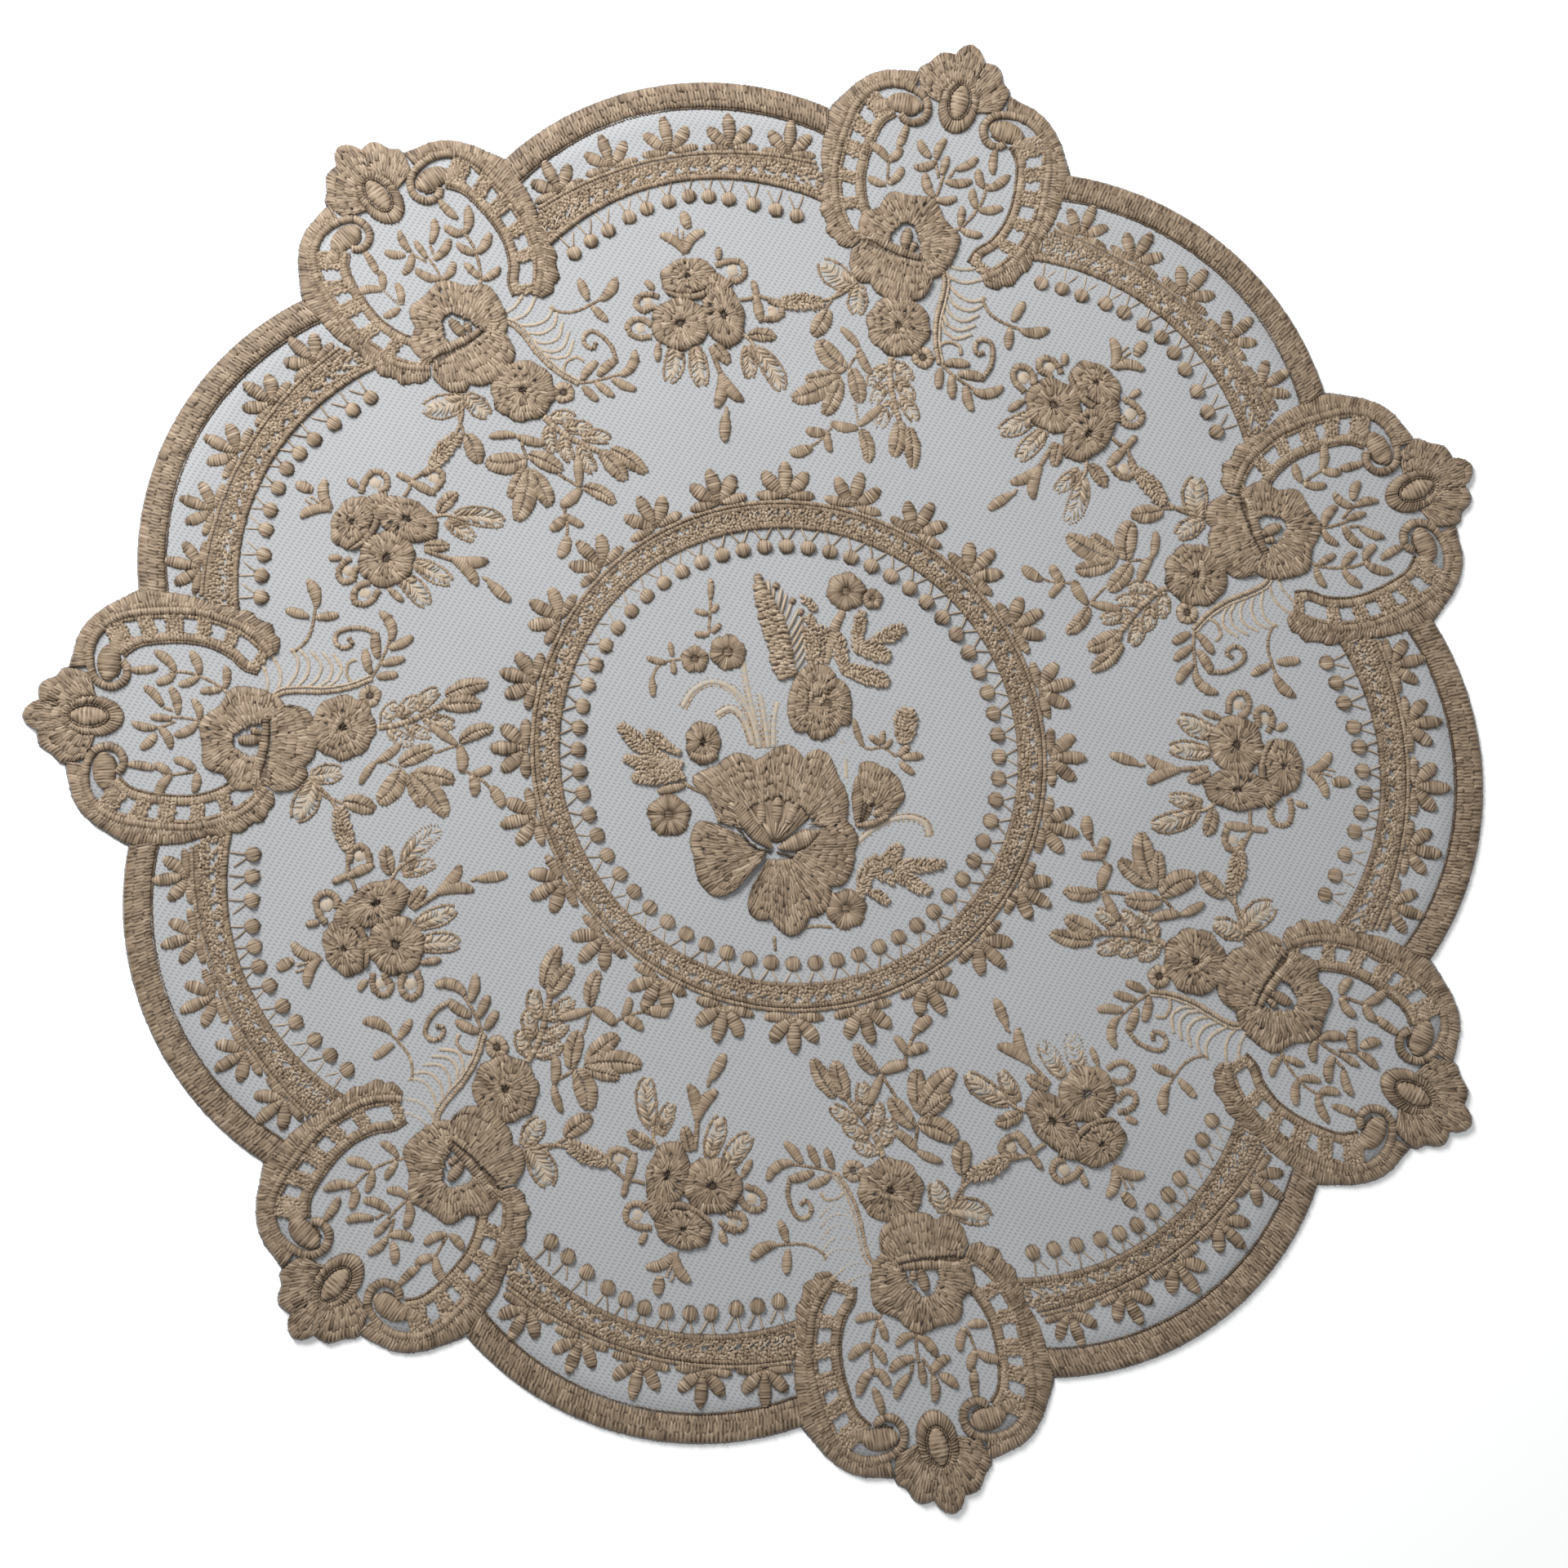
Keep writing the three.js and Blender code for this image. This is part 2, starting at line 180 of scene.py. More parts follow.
def at(line, reach, where):
    """Points of a line where its measure, reach, has the values where."""
    return np.column_stack([np.interp(where, reach, line[:, i]) for i in (0, 1)])


def evenly(line, count):
    """Points evenly far apart along a line."""
    reach = distances(line)
    return at(line, reach, np.linspace(0, reach[-1], count))


# Width of a figure from its foot (0) to its tip (1), as a share of the widest
WIDTHS = {
    "even": lambda t: np.ones_like(t),
    "leaf": lambda t: 0.28 + 0.72 * np.sin(np.pi * np.clip(t, 0, 1) ** 1.15) ** 0.6,
    "spear": lambda t: 0.2 + 0.8 * np.sin(np.pi * np.clip(t, 0, 1) ** 1.35) ** 0.6,
    "ball": lambda t: np.sqrt(np.clip(1 - (2.0 * t - 1) ** 2, 0.04, 1)),
    "bow": lambda t: 0.55 + 0.45 * np.sin(np.pi * t),
}


# Stitches

def ring_faces(rows, ring, loop):
    """Faces between neighbouring rows of rings of points, with flat ends unless the rows loop."""
    r = np.arange(rows if loop else rows - 1)[:, None]
    j = np.arange(ring)[None, :]
    here, ahead = r * ring, ((r + 1) % rows) * ring
    faces = np.stack([here + j, here + (j + 1) % ring, ahead + (j + 1) % ring, ahead + j], -1)
    faces = faces.reshape(-1, 4)
    if loop:
        return faces
    i = np.arange(ring // 2 - 1)
    cap = np.column_stack([i, ring - 1 - i, ring - 2 - i, i + 1])
    return np.concatenate([faces, cap, cap[:, ::-1] + (rows - 1) * ring])


def satin(left, right, pitch=PITCH, top=FIGURE, groove=0.24, ragged=0.1, ragged_left=None,
          notch=0.08, tone=0.5, lean=0.0, loop=False, crown=2.6, dusk=0.0, rim=0.2, slits=0.22,
          stray=0.12, uneven=0.08, ends=(0, 0)):
    """Satin stitches side by side from one edge line to the other.

    Every stitch is a ridge of two rows, a valley and a crest. Across the stitch the height is
    (1 - |2s - 1|^crown)^0.55 of its rise. Valleys are lower by groove and darker by painted
    shade, and crests lighter by a painted highlight; crests end further out by notch and a
    random ragged length, and short stitches stand lower. The left and right ends keep the shares
    of the rise in ends, eased in along the stitch. The right ends drift along their edge by lean
    and a random stray. Both ends are darkened by painted shade, by rim, the right one by dusk
    more, and a share slits of the spots along the valleys get painted shadow. The underside is
    flat.
    """
    left, right = np.asarray(left, float), np.asarray(right, float)
    if loop:
        left, right = (np.concatenate([e, e[:1]]) for e in (left, right))
    middle = (left + right) / 2
    reach = distances(middle)
    count = max(2, int(round(reach[-1] / pitch)))
    rows = 2 * count + (0 if loop else 1)
    where = np.arange(rows) / (2 * count) * reach[-1]
    a = at(left, reach, where)
    drift = where + lean + pitch * np.clip(stray * random.normal(size=rows), -MOST_STRAY, MOST_STRAY)
    b = at(right, reach, np.mod(drift, reach[-1]) if loop else np.clip(drift, 0, reach[-1]))
    crest = np.arange(rows) % 2 == 1
    across = b - a
    length = np.hypot(across[:, 0], across[:, 1])
    unit = across / np.maximum(length, 1e-6)[:, None]
    rough_a = ragged if ragged_left is None else ragged_left
    end_a = np.where(crest, notch + rough_a * random.normal(size=rows), -notch)
    end_b = np.where(crest, notch + ragged * random.normal(size=rows), -notch)
    room = 0.45 * length
    a = a - unit * np.maximum(end_a, -room)[:, None]
    b = b + unit * np.maximum(end_b, -room)[:, None]
    wide = np.median(length)
    stations = np.array(next(places for below, places in STATIONS if wide < below))
    profile = np.clip(1 - np.abs(2 * stations - 1) ** crown, 0, 1) ** 0.55
    profile = profile + (1 - profile) * (ends[0] * (1 - stations) + ends[1] * stations)
    low = np.clip(length / SHORT_STITCH, 0.3, 1) ** 0.5
    rise = (top - FOOT) * low * np.where(crest, 1 + 0.04 * random.normal(size=rows), 1 - groove)
    if not loop:
        rise[[0, -1]] *= 0.6
    ring = len(stations)
    flat = a[:, None, :] + stations[None, :, None] * (b - a)[:, None, :]
    height = FOOT + rise[:, None] * profile[None, :]
    points = np.concatenate([flat, height[:, :, None]], 2).reshape(-1, 3)
    faces = ring_faces(rows, ring, loop)
    thread = np.stack(np.broadcast_arrays(stations[None, :] * length[:, None],
                                          np.arange(rows)[:, None] / 2.0), -1).reshape(-1, 2)
    # Painted highlight on the crests, over a random tone of their own; painted shade in the valleys
    shade = tone + np.where(crest, CREST_HIGHLIGHT + uneven * random.normal(size=rows), VALLEY_SHADE)
    # Painted shade at both ends where the thread dips into the net (rim), more on the right end (dusk)
    shade = shade[:, None] - (rim * (1 - profile) + dusk * stations**3)[None, :]
    # Painted shadow on a share of the valley spots (slits)
    shade = shade + SLIT_SHADE * (random.random((rows, ring)) < slits) * ~crest[:, None]
    patch = Patch(points, faces, thread, shade.ravel())
    ahead = np.diff(middle, axis=0)
    gap = (right - left)[:-1]
    turn = np.sum(ahead[:, 0] * gap[:, 1] - ahead[:, 1] * gap[:, 0])
    return patch.turned_inside_out() if turn > 0 else patch


def column(line, wide, shape="even", **how):
    """Satin across a line: the edges stand half of wide, times the shape's width, to each side."""
    reach = distances(line)
    half = sideways(line) * (wide / 2 * WIDTHS[shape](reach / reach[-1]))[:, None]
    return satin(line + half, line - half, **how)


def figure(foot, tip, wide, shape="leaf", bend=0.0, **how):
    """Column from foot to tip that bows by bend."""
    return column(bowed(foot, tip, bend), wide, shape, **how)


def cord(points, wide=1.2, **how):
    """Narrow satin along a smooth route."""
    return column(curve(points), wide, **{"pitch": 0.75, "lean": 0.35, "groove": 0.22, **how})


def shadow_lines(routes, wide=0.7, top=ROSE + 0.12):
    """Dark strips of painted shadow along routes, where one petal lies over another."""
    return [column(curve(points), wide, top=top, tone=0.1, pitch=1.1, groove=0.1, ragged=0.14,
                   notch=0.1, slits=0) for points in routes]


def lips(rows, **how):
    """Rolled edges of petals: a raised bow of satin along each route, as wide as its row says."""
    return [column(curve(points), wide, "bow", **how) for points, wide in rows]


def threads(a, b, wide=0.4, top=LOW, tone=0.7, uneven=0.1, short=False):
    """Single threads from points a to points b: low bridges whose section is a flat-topped ridge
    of four points, with five stations along each, or three where they are short."""
    count = len(a)
    s = np.array([0, 0.5, 1]) if short else np.array([0, 0.15, 0.5, 0.85, 1])
    along = b - a
    length = np.hypot(along[:, 0], along[:, 1])
    unit = along / np.maximum(length, 1e-6)[:, None]
    left = np.column_stack([-unit[:, 1], unit[:, 0]])
    centre = a[:, None, :] + s[None, :, None] * along[:, None, :]
    section = np.array([0.5, 0.25, -0.25, -0.5]) * wide
    flat = centre[:, :, None, :] + section[None, None, :, None] * left[:, None, None, :]
    lift = (top - NET_UNDER) * np.clip(4 * s * (1 - s), 0.25, 1) ** 0.4
    jitter = 1 + 0.12 * random.normal(size=(count, 1, 1))
    height = NET_UNDER + lift[None, :, None] * np.array([0.1, 1, 1, 0.1])[None, None, :] * jitter
    points = np.concatenate([flat, height[..., None]], -1).reshape(-1, 3)
    one = ring_faces(len(s), 4, False)[:, ::-1]
    faces = (one[None] + (np.arange(count) * len(s) * 4)[:, None, None]).reshape(-1, 4)
    v = np.broadcast_to(np.array([0, 0.3, 0.7, 1])[None, None, :], (count, len(s), 4))
    u = np.broadcast_to((s[None, :] * length[:, None])[:, :, None], v.shape)
    shade = tone + uneven * random.normal(size=count)
    # Painted shade on the thread's low sides and a faint painted highlight on its top
    edge = np.array([-0.25, 0.03, 0.03, -0.25])
    rim = np.broadcast_to(edge[None, None, :], v.shape) + shade[:, None, None]
    return Patch(points, faces, np.stack([u, v], -1).reshape(-1, 2), rim.ravel())


def granite(left, right, gap=0.8, long=1.35, wide=0.85, top=FLAT, tone=0.5, windows=None,
            lean=(0.4, 1.1), slant=None):
    """Ground of short crossing stitches between two lines.

    Their centres lie on a jittered grid. Each stitch leans off the line across by an angle from
    lean: to a side of its own, or to the one side that slant gives, or away from the middle
    line where slant is 0. windows gives the pitch, length, place across and height of a row of
    openings left in the ground.
    """
    reach = distances((left + right) / 2)
    depth = np.hypot(*(right - left).T).mean()
    rows, across = max(1, int(reach[-1] / gap)), max(1, int(round(depth / gap)))
    r, c = np.meshgrid(np.arange(rows) + 0.5, np.arange(across) + 0.5, indexing="ij")
    r = (r + random.uniform(-0.35, 0.35, r.shape)).ravel() / rows * reach[-1]
    c = (c + random.uniform(-0.35, 0.35, c.shape)).ravel() / across
    if windows:
        pitch, open_long, place, open_high = windows
        off_middle = np.abs(np.mod(r, pitch) - pitch / 2) / (open_long / 2)
        off_row = np.abs(c - place) * depth / (open_high / 2)
        kept = np.maximum(off_middle, off_row) > 1
        r, c = r[kept], c[kept]
    a, b = at(left, reach, r), at(right, reach, r)
    centre = a + c[:, None] * (b - a)
    out = (b - a) / np.maximum(np.hypot(*(b - a).T), 1e-6)[:, None]
    along = np.column_stack([-out[:, 1], out[:, 0]])
    if slant is None:
        slant = random.choice([-1, 1], len(r))
    elif slant == 0:
        slant = np.where(c > 0.5, 1, -1)
    lean = random.uniform(*lean, len(r)) * slant
    step = (np.cos(lean)[:, None] * out + np.sin(lean)[:, None] * along) * long / 2
    return grains(centre, step, wide, top, tone)


def grains(centre, step, wide, top, tone):
    """Short fat stitches from centre - step to centre + step: each a four-cornered block whose
    upper face is 0.65 as long and 0.62 as wide, and stands at a height of its own."""
    count = len(centre)
    left = np.column_stack([-step[:, 1], step[:, 0]]) / np.maximum(np.hypot(*step.T), 1e-6)[:, None]
    corner = np.array([(-1, -1), (1, -1), (1, 1), (-1, 1)])
    flat = [centre[:, None, :] + corner[None, :, :1] * share * step[:, None, :]
            + corner[None, :, 1:] * wide / 2 * narrow * left[:, None, :]
            for share, narrow in ((1, 1), (0.65, 0.62))]
    level = FOOT + (top - FOOT) * random.uniform(0.88, 1.04, (count, 1, 1))
    height = [np.full((count, 4, 1), FOOT), np.broadcast_to(level, (count, 4, 1))]
    points = np.concatenate([np.concatenate(pair, -1) for pair in zip(flat, height)], 1)
    around = np.arange(4)
    one = np.concatenate([
        np.column_stack([around, (around + 1) % 4, (around + 1) % 4 + 4, around + 4]),
        [(4, 5, 6, 7), (3, 2, 1, 0)]])
    faces = (one[None] + 8 * np.arange(count)[:, None, None]).reshape(-1, 4)
    # Over a random tone, each block's foot corners get painted shade and its top corners a faint
    # painted highlight
    shade = tone + 0.075 * random.normal(size=(count, 1)) + np.array([-0.05] * 4 + [0.01] * 4)
    thread = random.uniform(0, 9, (count, 1, 2)) + np.concatenate([corner, corner])[None] * 0.4
    return Patch(points.reshape(-1, 3), faces, thread.reshape(-1, 2), shade.ravel())


def leaf_lines(foot, tip, wide, bend, steps=14):
    """Midrib of a leaf, and how far to its left the leaf's edge lies at each of its points."""
    rib = bowed(foot, tip, bend, steps)
    t = np.linspace(0, 1, len(rib))
    return rib, sideways(rib) * (wide / 2 * WIDTHS["leaf"](t))[:, None]


def solid_leaf(foot, tip, wide, bend):
    """Leaf of one column of stitches that lean a little."""
    return [figure(foot, tip, wide, "leaf", bend, pitch=0.7, groove=0.14, lean=0.4, slits=0.12,
                   tone=0.52)]


def split_leaf(foot, tip, wide, bend):
    """Leaf of two halves that overlap at the midrib, their stitches leaning towards the tip."""
    rib, half = leaf_lines(foot, tip, wide, bend)
    how = {"pitch": 0.85, "notch": 0.12, "ragged": 0.16, "uneven": 0.12, "rim": 0.14, "lean": 0.9}
    over = 0.06 * half
    return [satin(rib - over, rib + half, ends=(0.75, 0), **how),
            satin(rib + over, rib - half, ends=(0.6, 0), **how)]


def braid_leaf(foot, tip, wide, bend):
    """Leaf of short fat stitches that slant from the midrib to both edges, over a flat bed."""
    rib, half = leaf_lines(foot, tip, wide, bend)
    left, right = rib + 0.9 * half, rib - 0.9 * half
    return [satin(left, right, pitch=1.2, top=FLAT, tone=0.52, slits=0.1, rim=0.1),
            granite(left, right, gap=0.78, long=1.6, top=FIGURE - 0.05, tone=0.56, slant=0)]


def light_leaf(foot, tip, wide, bend):
    """Open leaf: a corded outline round a pale bed, thick stitches near its foot, and loose
    threads beyond them."""
    rib, half = leaf_lines(foot, tip, wide, bend, 12)
    t = np.linspace(0, 1, len(rib))
    parts = [column(rib + side * half, 1.1, pitch=0.85, top=FLAT, lean=0.3, ragged=0.16, tone=0.47)
             for side in (1, -1)]
    parts.append(column(rib, 0.84 * wide, "leaf", top=NET_OVER + 0.22, tone=0.9, pitch=1.5,
                        groove=0.08, slits=0.1, rim=0))
    count = max(3, int(np.hypot(*(rib[-1] - rib[0])) / 1.1))
    where = np.linspace(0.03, 0.8, count) + random.uniform(-0.04, 0.04, count)
    inner = at(rib, t, where)
    thick = where < 0.4
    for side in (1, -1):
        ahead = np.clip(where + random.uniform(0.06, 0.24, count), 0, 1)
        outer = at(rib + 0.8 * side * half, t, ahead)
        parts.append(threads(inner[thick], outer[thick], 1.05, FLAT, tone=0.55, short=True))
        if not thick.all():
            parts.append(threads(inner[~thick], outer[~thick], 0.7, tone=0.76, uneven=0.14,
                                 short=True))
    return parts


def leaves(make, rows):
    """Leaves of one kind from rows of foot side, foot out, tip side, tip out, width, bend."""
    return sum((make(row[:2], row[2:4], *row[4:]) for row in rows), [])


def tendril(points):
    """Pale band along a route: flat thread between a fat cord on its left and a thin one on its
    right."""
    line, gap = curve(points), 1.9
    side = sideways(line) * gap / 2
    thin = {"top": LOW + 0.1, "pitch": 1.3, "notch": 0.04, "ragged": 0.06}
    return [column(line, gap, top=NET_OVER + 0.3, tone=0.92, pitch=1.6, groove=0.06, notch=0,
                   ragged=0.03, slits=0),
            column(line + side, 0.9, tone=0.6, slits=0.4, **thin),
            column(line - side, 0.7, tone=0.48, slits=0.1, **thin)]


def tiered(inner, outer, tiers=None, top=ROSE, rough=0.7, feet=0.2, lean=0.0, **how):
    """Long and short stitches from an inner line to an outer one of as many points.

    Their depth is cut into tiers, TIER deep unless tiers says how many. Tier i runs from share
    (i - 0.5) / tiers to share (i + 1) / tiers with a lean of its own, and the tiers mingle where
    their ragged ends overlap. feet is how ragged the inner ends are; above 0.3 they stay high.
    """
    tiers = tiers or max(1, int(round(np.hypot(*(outer - inner).T).mean() / TIER)))
    how = {"pitch": 0.84, "stray": 0.22, "rim": 0.34, "slits": 0.3, "uneven": 0.1, **how}
    parts = []
    for i in range(tiers):
        low, high = max(0.0, (i - 0.5) / tiers), (i + 1) / tiers
        a, b = (inner + (outer - inner) * share for share in (low, high))
        last = i == tiers - 1
        parts.append(satin(a, b, top=top - 0.08 * (i % 2), ragged=0.1 if last else rough,
                           ragged_left=rough if i else feet, lean=lean + random.uniform(-0.5, 0.5),
                           ends=(0.7 * (i > 0 or feet > 0.3), 0.7 * (not last)), **how))
    return parts


def fan(inner, outer, tiers=None, **how):
    """Petal stitched in tiers outwards from a short inner line to a long outer one."""
    return tiered(evenly(curve(inner, 10), 40), evenly(curve(outer, 10), 40), tiers, **how)


def rosette(centre, wide, high, lobes, hole, turn=0.0, top=CORD, **how):
    """Round flower stitched in tiers from an eye dark with painted shade out to a lobed edge, with a
    line of painted shadow running in from each notch of the edge."""
    x, y = centre
    # The eye's near-black tone is painted shade in the hollow at the flower's middle
    parts = [figure((x, y - hole * high), (x, y + hole * high), 2 * hole * wide, "ball", top=LOW,
                    tone=0.1)]
    parts += tiered(oval(centre, hole * wide, hole * high), oval(centre, wide, high, lobes, 0.1, turn),
                    top=top, loop=True, **{"lean": 0.3, **how})
    shadow_routes = []
    for i in range(lobes):
        angle = turn + (2 * i + 1) * math.pi / lobes
        ray = np.array([wide * math.cos(angle), high * math.sin(angle)]) / 2
        shadow_routes.append([centre + share * ray for share in (0.5, 0.72, 0.9)])
    return parts + shadow_lines(shadow_routes, 0.4, top + 0.06)


def ring_flower(centre, wide, lobes):
    """Small round flower: one ring of stitches from a dark eye out to a slightly lobed edge."""
    x, y = centre
    eye = figure((x, y - 0.16 * wide), (x, y + 0.16 * wide), 0.36 * wide, "ball", top=LOW + 0.1,
                 tone=0.34)
    inner = oval(centre, 0.12 * wide, 0.12 * wide)
    outer = oval(centre, wide, wide, lobes, 0.14, turn=0.3)
    return [eye, satin(inner, outer, loop=True, pitch=0.62, top=CORD, slits=0.12, rim=0.3, crown=2.2,
                       stray=0.2, ragged=0.16)]


# Arcs of the border, in the frame of the arc's middle line: centre, outer and inner radius
ARC_CENTRE, ARC_OUTER, ARC_INNER = 100.5, 77.6, 70.2
# Centre and radius of the band's outer and inner line
BAND_OUTER, BAND_INNER = (69.0, 90.2), (88.0, 63.8)
# Rows of the border: radius of the outer and the inner line, half span, how ragged and how high
# the outer and the inner ends are, and pitch
BORDER_ROWS = (
    (ARC_OUTER, 74.3, 43.6, (0.06, 0.5), (0, 0.8), 1.1),
    (75.3, 71.9, 43.0, (0.5, 0.4), (0.8, 0.8), 0.84),
    (72.7, ARC_INNER, 42.2, (0.4, 0.06), (0.8, 0), 0.84))


def arc_border():
    """Three rows of even stitches that mingle where they meet, and a dark line of painted shadow inside
    them.
    """
    parts = [satin(arc(ARC_CENTRE, outer, span), arc(ARC_CENTRE, inner, span - 1), top=1.7,
                   ragged=rough[1], ragged_left=rough[0], ends=ends, lean=0.2, slits=0.45, rim=0.34,
                   groove=0.34, pitch=pitch, tone=0.48, stray=0.08)
             for outer, inner, span, rough, ends, pitch in BORDER_ROWS]
    # Dark line of painted shadow along the border's inner edge
    return parts + [column(arc(ARC_CENTRE, ARC_INNER, 41), 0.8, pitch=0.85, lean=0.4, tone=0.2)]


# Petals of a palmette on its right side: foot side, foot out, tip side, tip out, width, bend
ARC_PETALS = ((0.3, 0.7, 7.5, 0.9, 3.2, 0.0), (0.2, 1.2, 5.6, 6.8, 4.5, -0.06))
RING_PETALS = ((0.3, 2.2, 7.7, 2.4, 3.6, 0.0), (0.2, 2.6, 5.7, 8.8, 4.8, -0.06))


def palmette(petals=ARC_PETALS, upright=(0.9, 10.4, 4.2), size=1.0):
    """Fan of petals stitched across, over a low heart: pairs from the lowest up, then the upright
    one, given by its foot, tip and width."""
    rough = {"pitch": 0.76, "groove": 0.22, "ragged": 0.14, "uneven": 0.12, "slits": 0.34, "stray": 0.2}
    foot, tip, wide = (size * v for v in upright)
    parts = [figure((-2.8 * size, foot + size), (2.8 * size, foot + size), 3.8 * size, "ball",
                    top=LOW + 0.1, tone=0.42, pitch=1.0)]
    for i, row in enumerate(petals):
        foot_side, foot_out, tip_side, tip_out, across = (size * v for v in row[:5])
        for side in (1, -1):
            parts.append(figure((side * foot_side, foot_out), (side * tip_side, tip_out), across,
                                "spear", side * row[5], top=FIGURE - 0.05 + 0.1 * i, **rough))
    return parts + [figure((0, foot), (0, tip), wide, "spear", top=CORD - 0.05, **rough)]


def ring_palmette():
    """Palmette of the ring, a little longer than an arc's and set further out from its cord."""
    return palmette(RING_PETALS, (2.2, 11.6, 4.5))


def drop(wide=3.9, high=5.0, spread=1.9):
    """Round drop, its stitches upright and darker below by painted shade, hung by two threads that
    spread upwards.
    """
    ball = figure((-wide / 2, 0), (wide / 2, 0), high, "ball", pitch=0.7, groove=0.17, slits=0.12,
                  top=CORD, dusk=0.3, tone=0.6, ragged=0.14, uneven=0.09, stray=0.2)
    a = np.array([(0.5, high / 2 - 0.6), (-0.5, high / 2 - 0.6)])
    b = np.array([(spread, high / 2 + 3.0), (-spread, high / 2 + 3.0)])
    return [ball, threads(a, b, wide=0.55, tone=0.56)]


def ring_drop():
    """Drop of the ring, its two threads spread wider than an arc's."""
    return drop(4.1, 4.9, 2.6)


def standing(parts, side, out, turn):
    """Parts turned about the origin by turn degrees and moved to side, out."""
    a = math.radians(turn)
    spin = np.array([[math.cos(a), math.sin(a)], [-math.sin(a), math.cos(a)]])
    return [p.moved(lambda q: q @ spin + (side, out)) for p in parts]


# Side, out, turn and size of each palmette; side and out of each drop
PALMETTES = ((-30.2, 153.3, 16, 0.96), (-15.6, 157.3, 8, 0.98), (0, 158.9, 0, 1.02),
             (15.6, 157.3, -8, 0.98), (30.2, 153.3, -16, 0.96))
DROPS = ((-30, 137), (-25, 139.5), (-20, 141.5), (-14, 144), (-9, 145.5), (-3, 146.5),
         (2.5, 147), (7.5, 146), (12.5, 144.5), (18.5, 142), (24, 139.5), (29, 137))


def arc_palmettes():
    """One palmette for each row of PALMETTES."""
    parts = []
    for side, out, turn, size in PALMETTES:
        parts += standing(palmette(size=size), side, out, turn)
    return parts


def arc_drops():
    """One drop for each row of DROPS, turned more the further it is from the arc's middle."""
    parts = []
    for side, out in DROPS:
        parts += standing(drop(), side, out, -0.35 * side)
    return parts


def lattice(outer, inner, window=(2.0, 0.56, 1.9)):
    """Ground of short crossing stitches with a row of small windows crossed by pale threads.

    window gives the windows' length, their place from the outer line to the inner one, and
    their height.
    """
    long, place, high = window
    pitch = 3.9
    reach = distances(outer)
    where = np.arange(int(reach[-1] / pitch)) * pitch + pitch / 2
    shift = np.array([-0.6, 0.6])[:, None] * long
    top, foot = (at(outer + share * (inner - outer), reach, (where + side * shift).ravel())
                 for share, side in ((place - 0.24, 1), (place + 0.26, -1)))
    beds = [satin(outer + a * (inner - outer), outer + b * (inner - outer), top=LOW, pitch=1.4,
                  tone=0.46, slits=0.1)
            for a, b in ((0, place - 0.2), (place + 0.2, 1)) if b > a + 0.1]
    return beds + [
        granite(outer, inner, gap=0.85, long=1.4, wide=0.95, windows=(pitch, long, place, high)),
        threads(top, foot, 0.6, FLAT, tone=0.68, short=True)]


def arc_band():
    """Lattice between a double cord on its outer side and a thick one on its inner side."""
    (centre, radius), (inner_centre, inner_radius) = BAND_OUTER, BAND_INNER
    # Cord ends darkened by painted shade (rim), one side of the inner cord more (dusk)
    cords = [
        column(arc(centre, radius - 0.9, 37.0), 1.5, lean=0.4, tone=0.52, rim=0.34),
        column(arc(centre, radius - 2.15, 37.2), 1.8, lean=0.4, top=FIGURE - 0.1, tone=0.44, rim=0.34),
        column(arc(inner_centre, inner_radius, 38.5), 1.9, lean=0.4, top=FIGURE + 0.2, dusk=0.25)]
    return cords + lattice(arc(centre, radius - 2.6, 37.2), arc(inner_centre, inner_radius + 0.5, 38.5))


# Spray between two medallions, in the frame of the arc's middle line
SPRAY_SOLID = (
    (-1.9, 131.8, -7.2, 138, 3.6, -0.16), (-1.5, 131.8, 4.7, 137, 3.6, 0.18),
    (0.4, 138.2, 0.2, 143.2, 3.9, 0), (6.4, 128.6, 7.4, 132.2, 2.4, 0),
    (-11.4, 123.6, -13.2, 126.8, 2.6, 0), (-13.2, 110, -14.6, 104.6, 2.5, 0),
    (0.9, 99, -2.2, 90.2, 4.2, 0.12), (1.2, 99, 5.2, 90.6, 4.2, -0.1), (0.5, 90.4, 0.3, 87, 1.4, 0),
    (0.3, 88.6, -1.9, 80.8, 3.7, 0), (14.3, 117.2, 14.4, 122, 2.4, 0), (14.2, 118, 14.0, 110.4, 3.4, 0))
SPRAY_SPLIT = ((0.6, 107, 3.8, 101, 4.2, 0), (9.8, 107.6, 17.2, 105.6, 4.4, 0.08))
SPRAY_LIGHT = (
    (-9, 109, -12.9, 98.8, 5.0, 0.06), (-4.2, 107.5, -4.5, 96.2, 4.6, 0),
    (9.2, 105.4, 8.3, 96.2, 3.6, 0), (11, 103.8, 15.6, 91.6, 5.0, 0.08))
SPRAY_LOOPS = (
    ((5.4, 127.4), (9, 128), (12.2, 127), (12.6, 124.2), (10.4, 122.6), (7.8, 123.2)),
    ((-10.6, 121.6), (-13, 122.8), (-16.2, 122.4), (-16.8, 120), (-15, 118.8), (-11.6, 119.2)),
    ((-14, 114.4), (-16, 116.4), (-19, 116.6), (-20.4, 114.6), (-18.6, 112), (-14.6, 111.6)),
    ((14.8, 111.4), (17, 110.8), (19.4, 111.2), (19.8, 114), (17, 116)))
# Route, width and tone of each stem
SPRAY_STEMS = (
    (((-2.4, 139.4), (-2.8, 136), (-2.1, 131.6)), 0.9, 0.6),
    (((-0.9, 138.6), (-1.5, 136), (-1.6, 131.8)), 0.9, 0.6),
    (((-0.3, 106.5), (0.2, 103), (0.9, 98.6)), 1.6, 0.5),
    (((8.5, 108.5), (10.4, 106), (11.4, 103)), 1.3, 0.6),
    (((9.6, 117.4), (12, 117.2), (14.4, 117.6), (17, 116.4), (20, 115.2)), 1.4, 0.5),
    (((29, 113.4), (33, 113.6), (37, 114.8), (41, 117)), 1.3, 0.55))


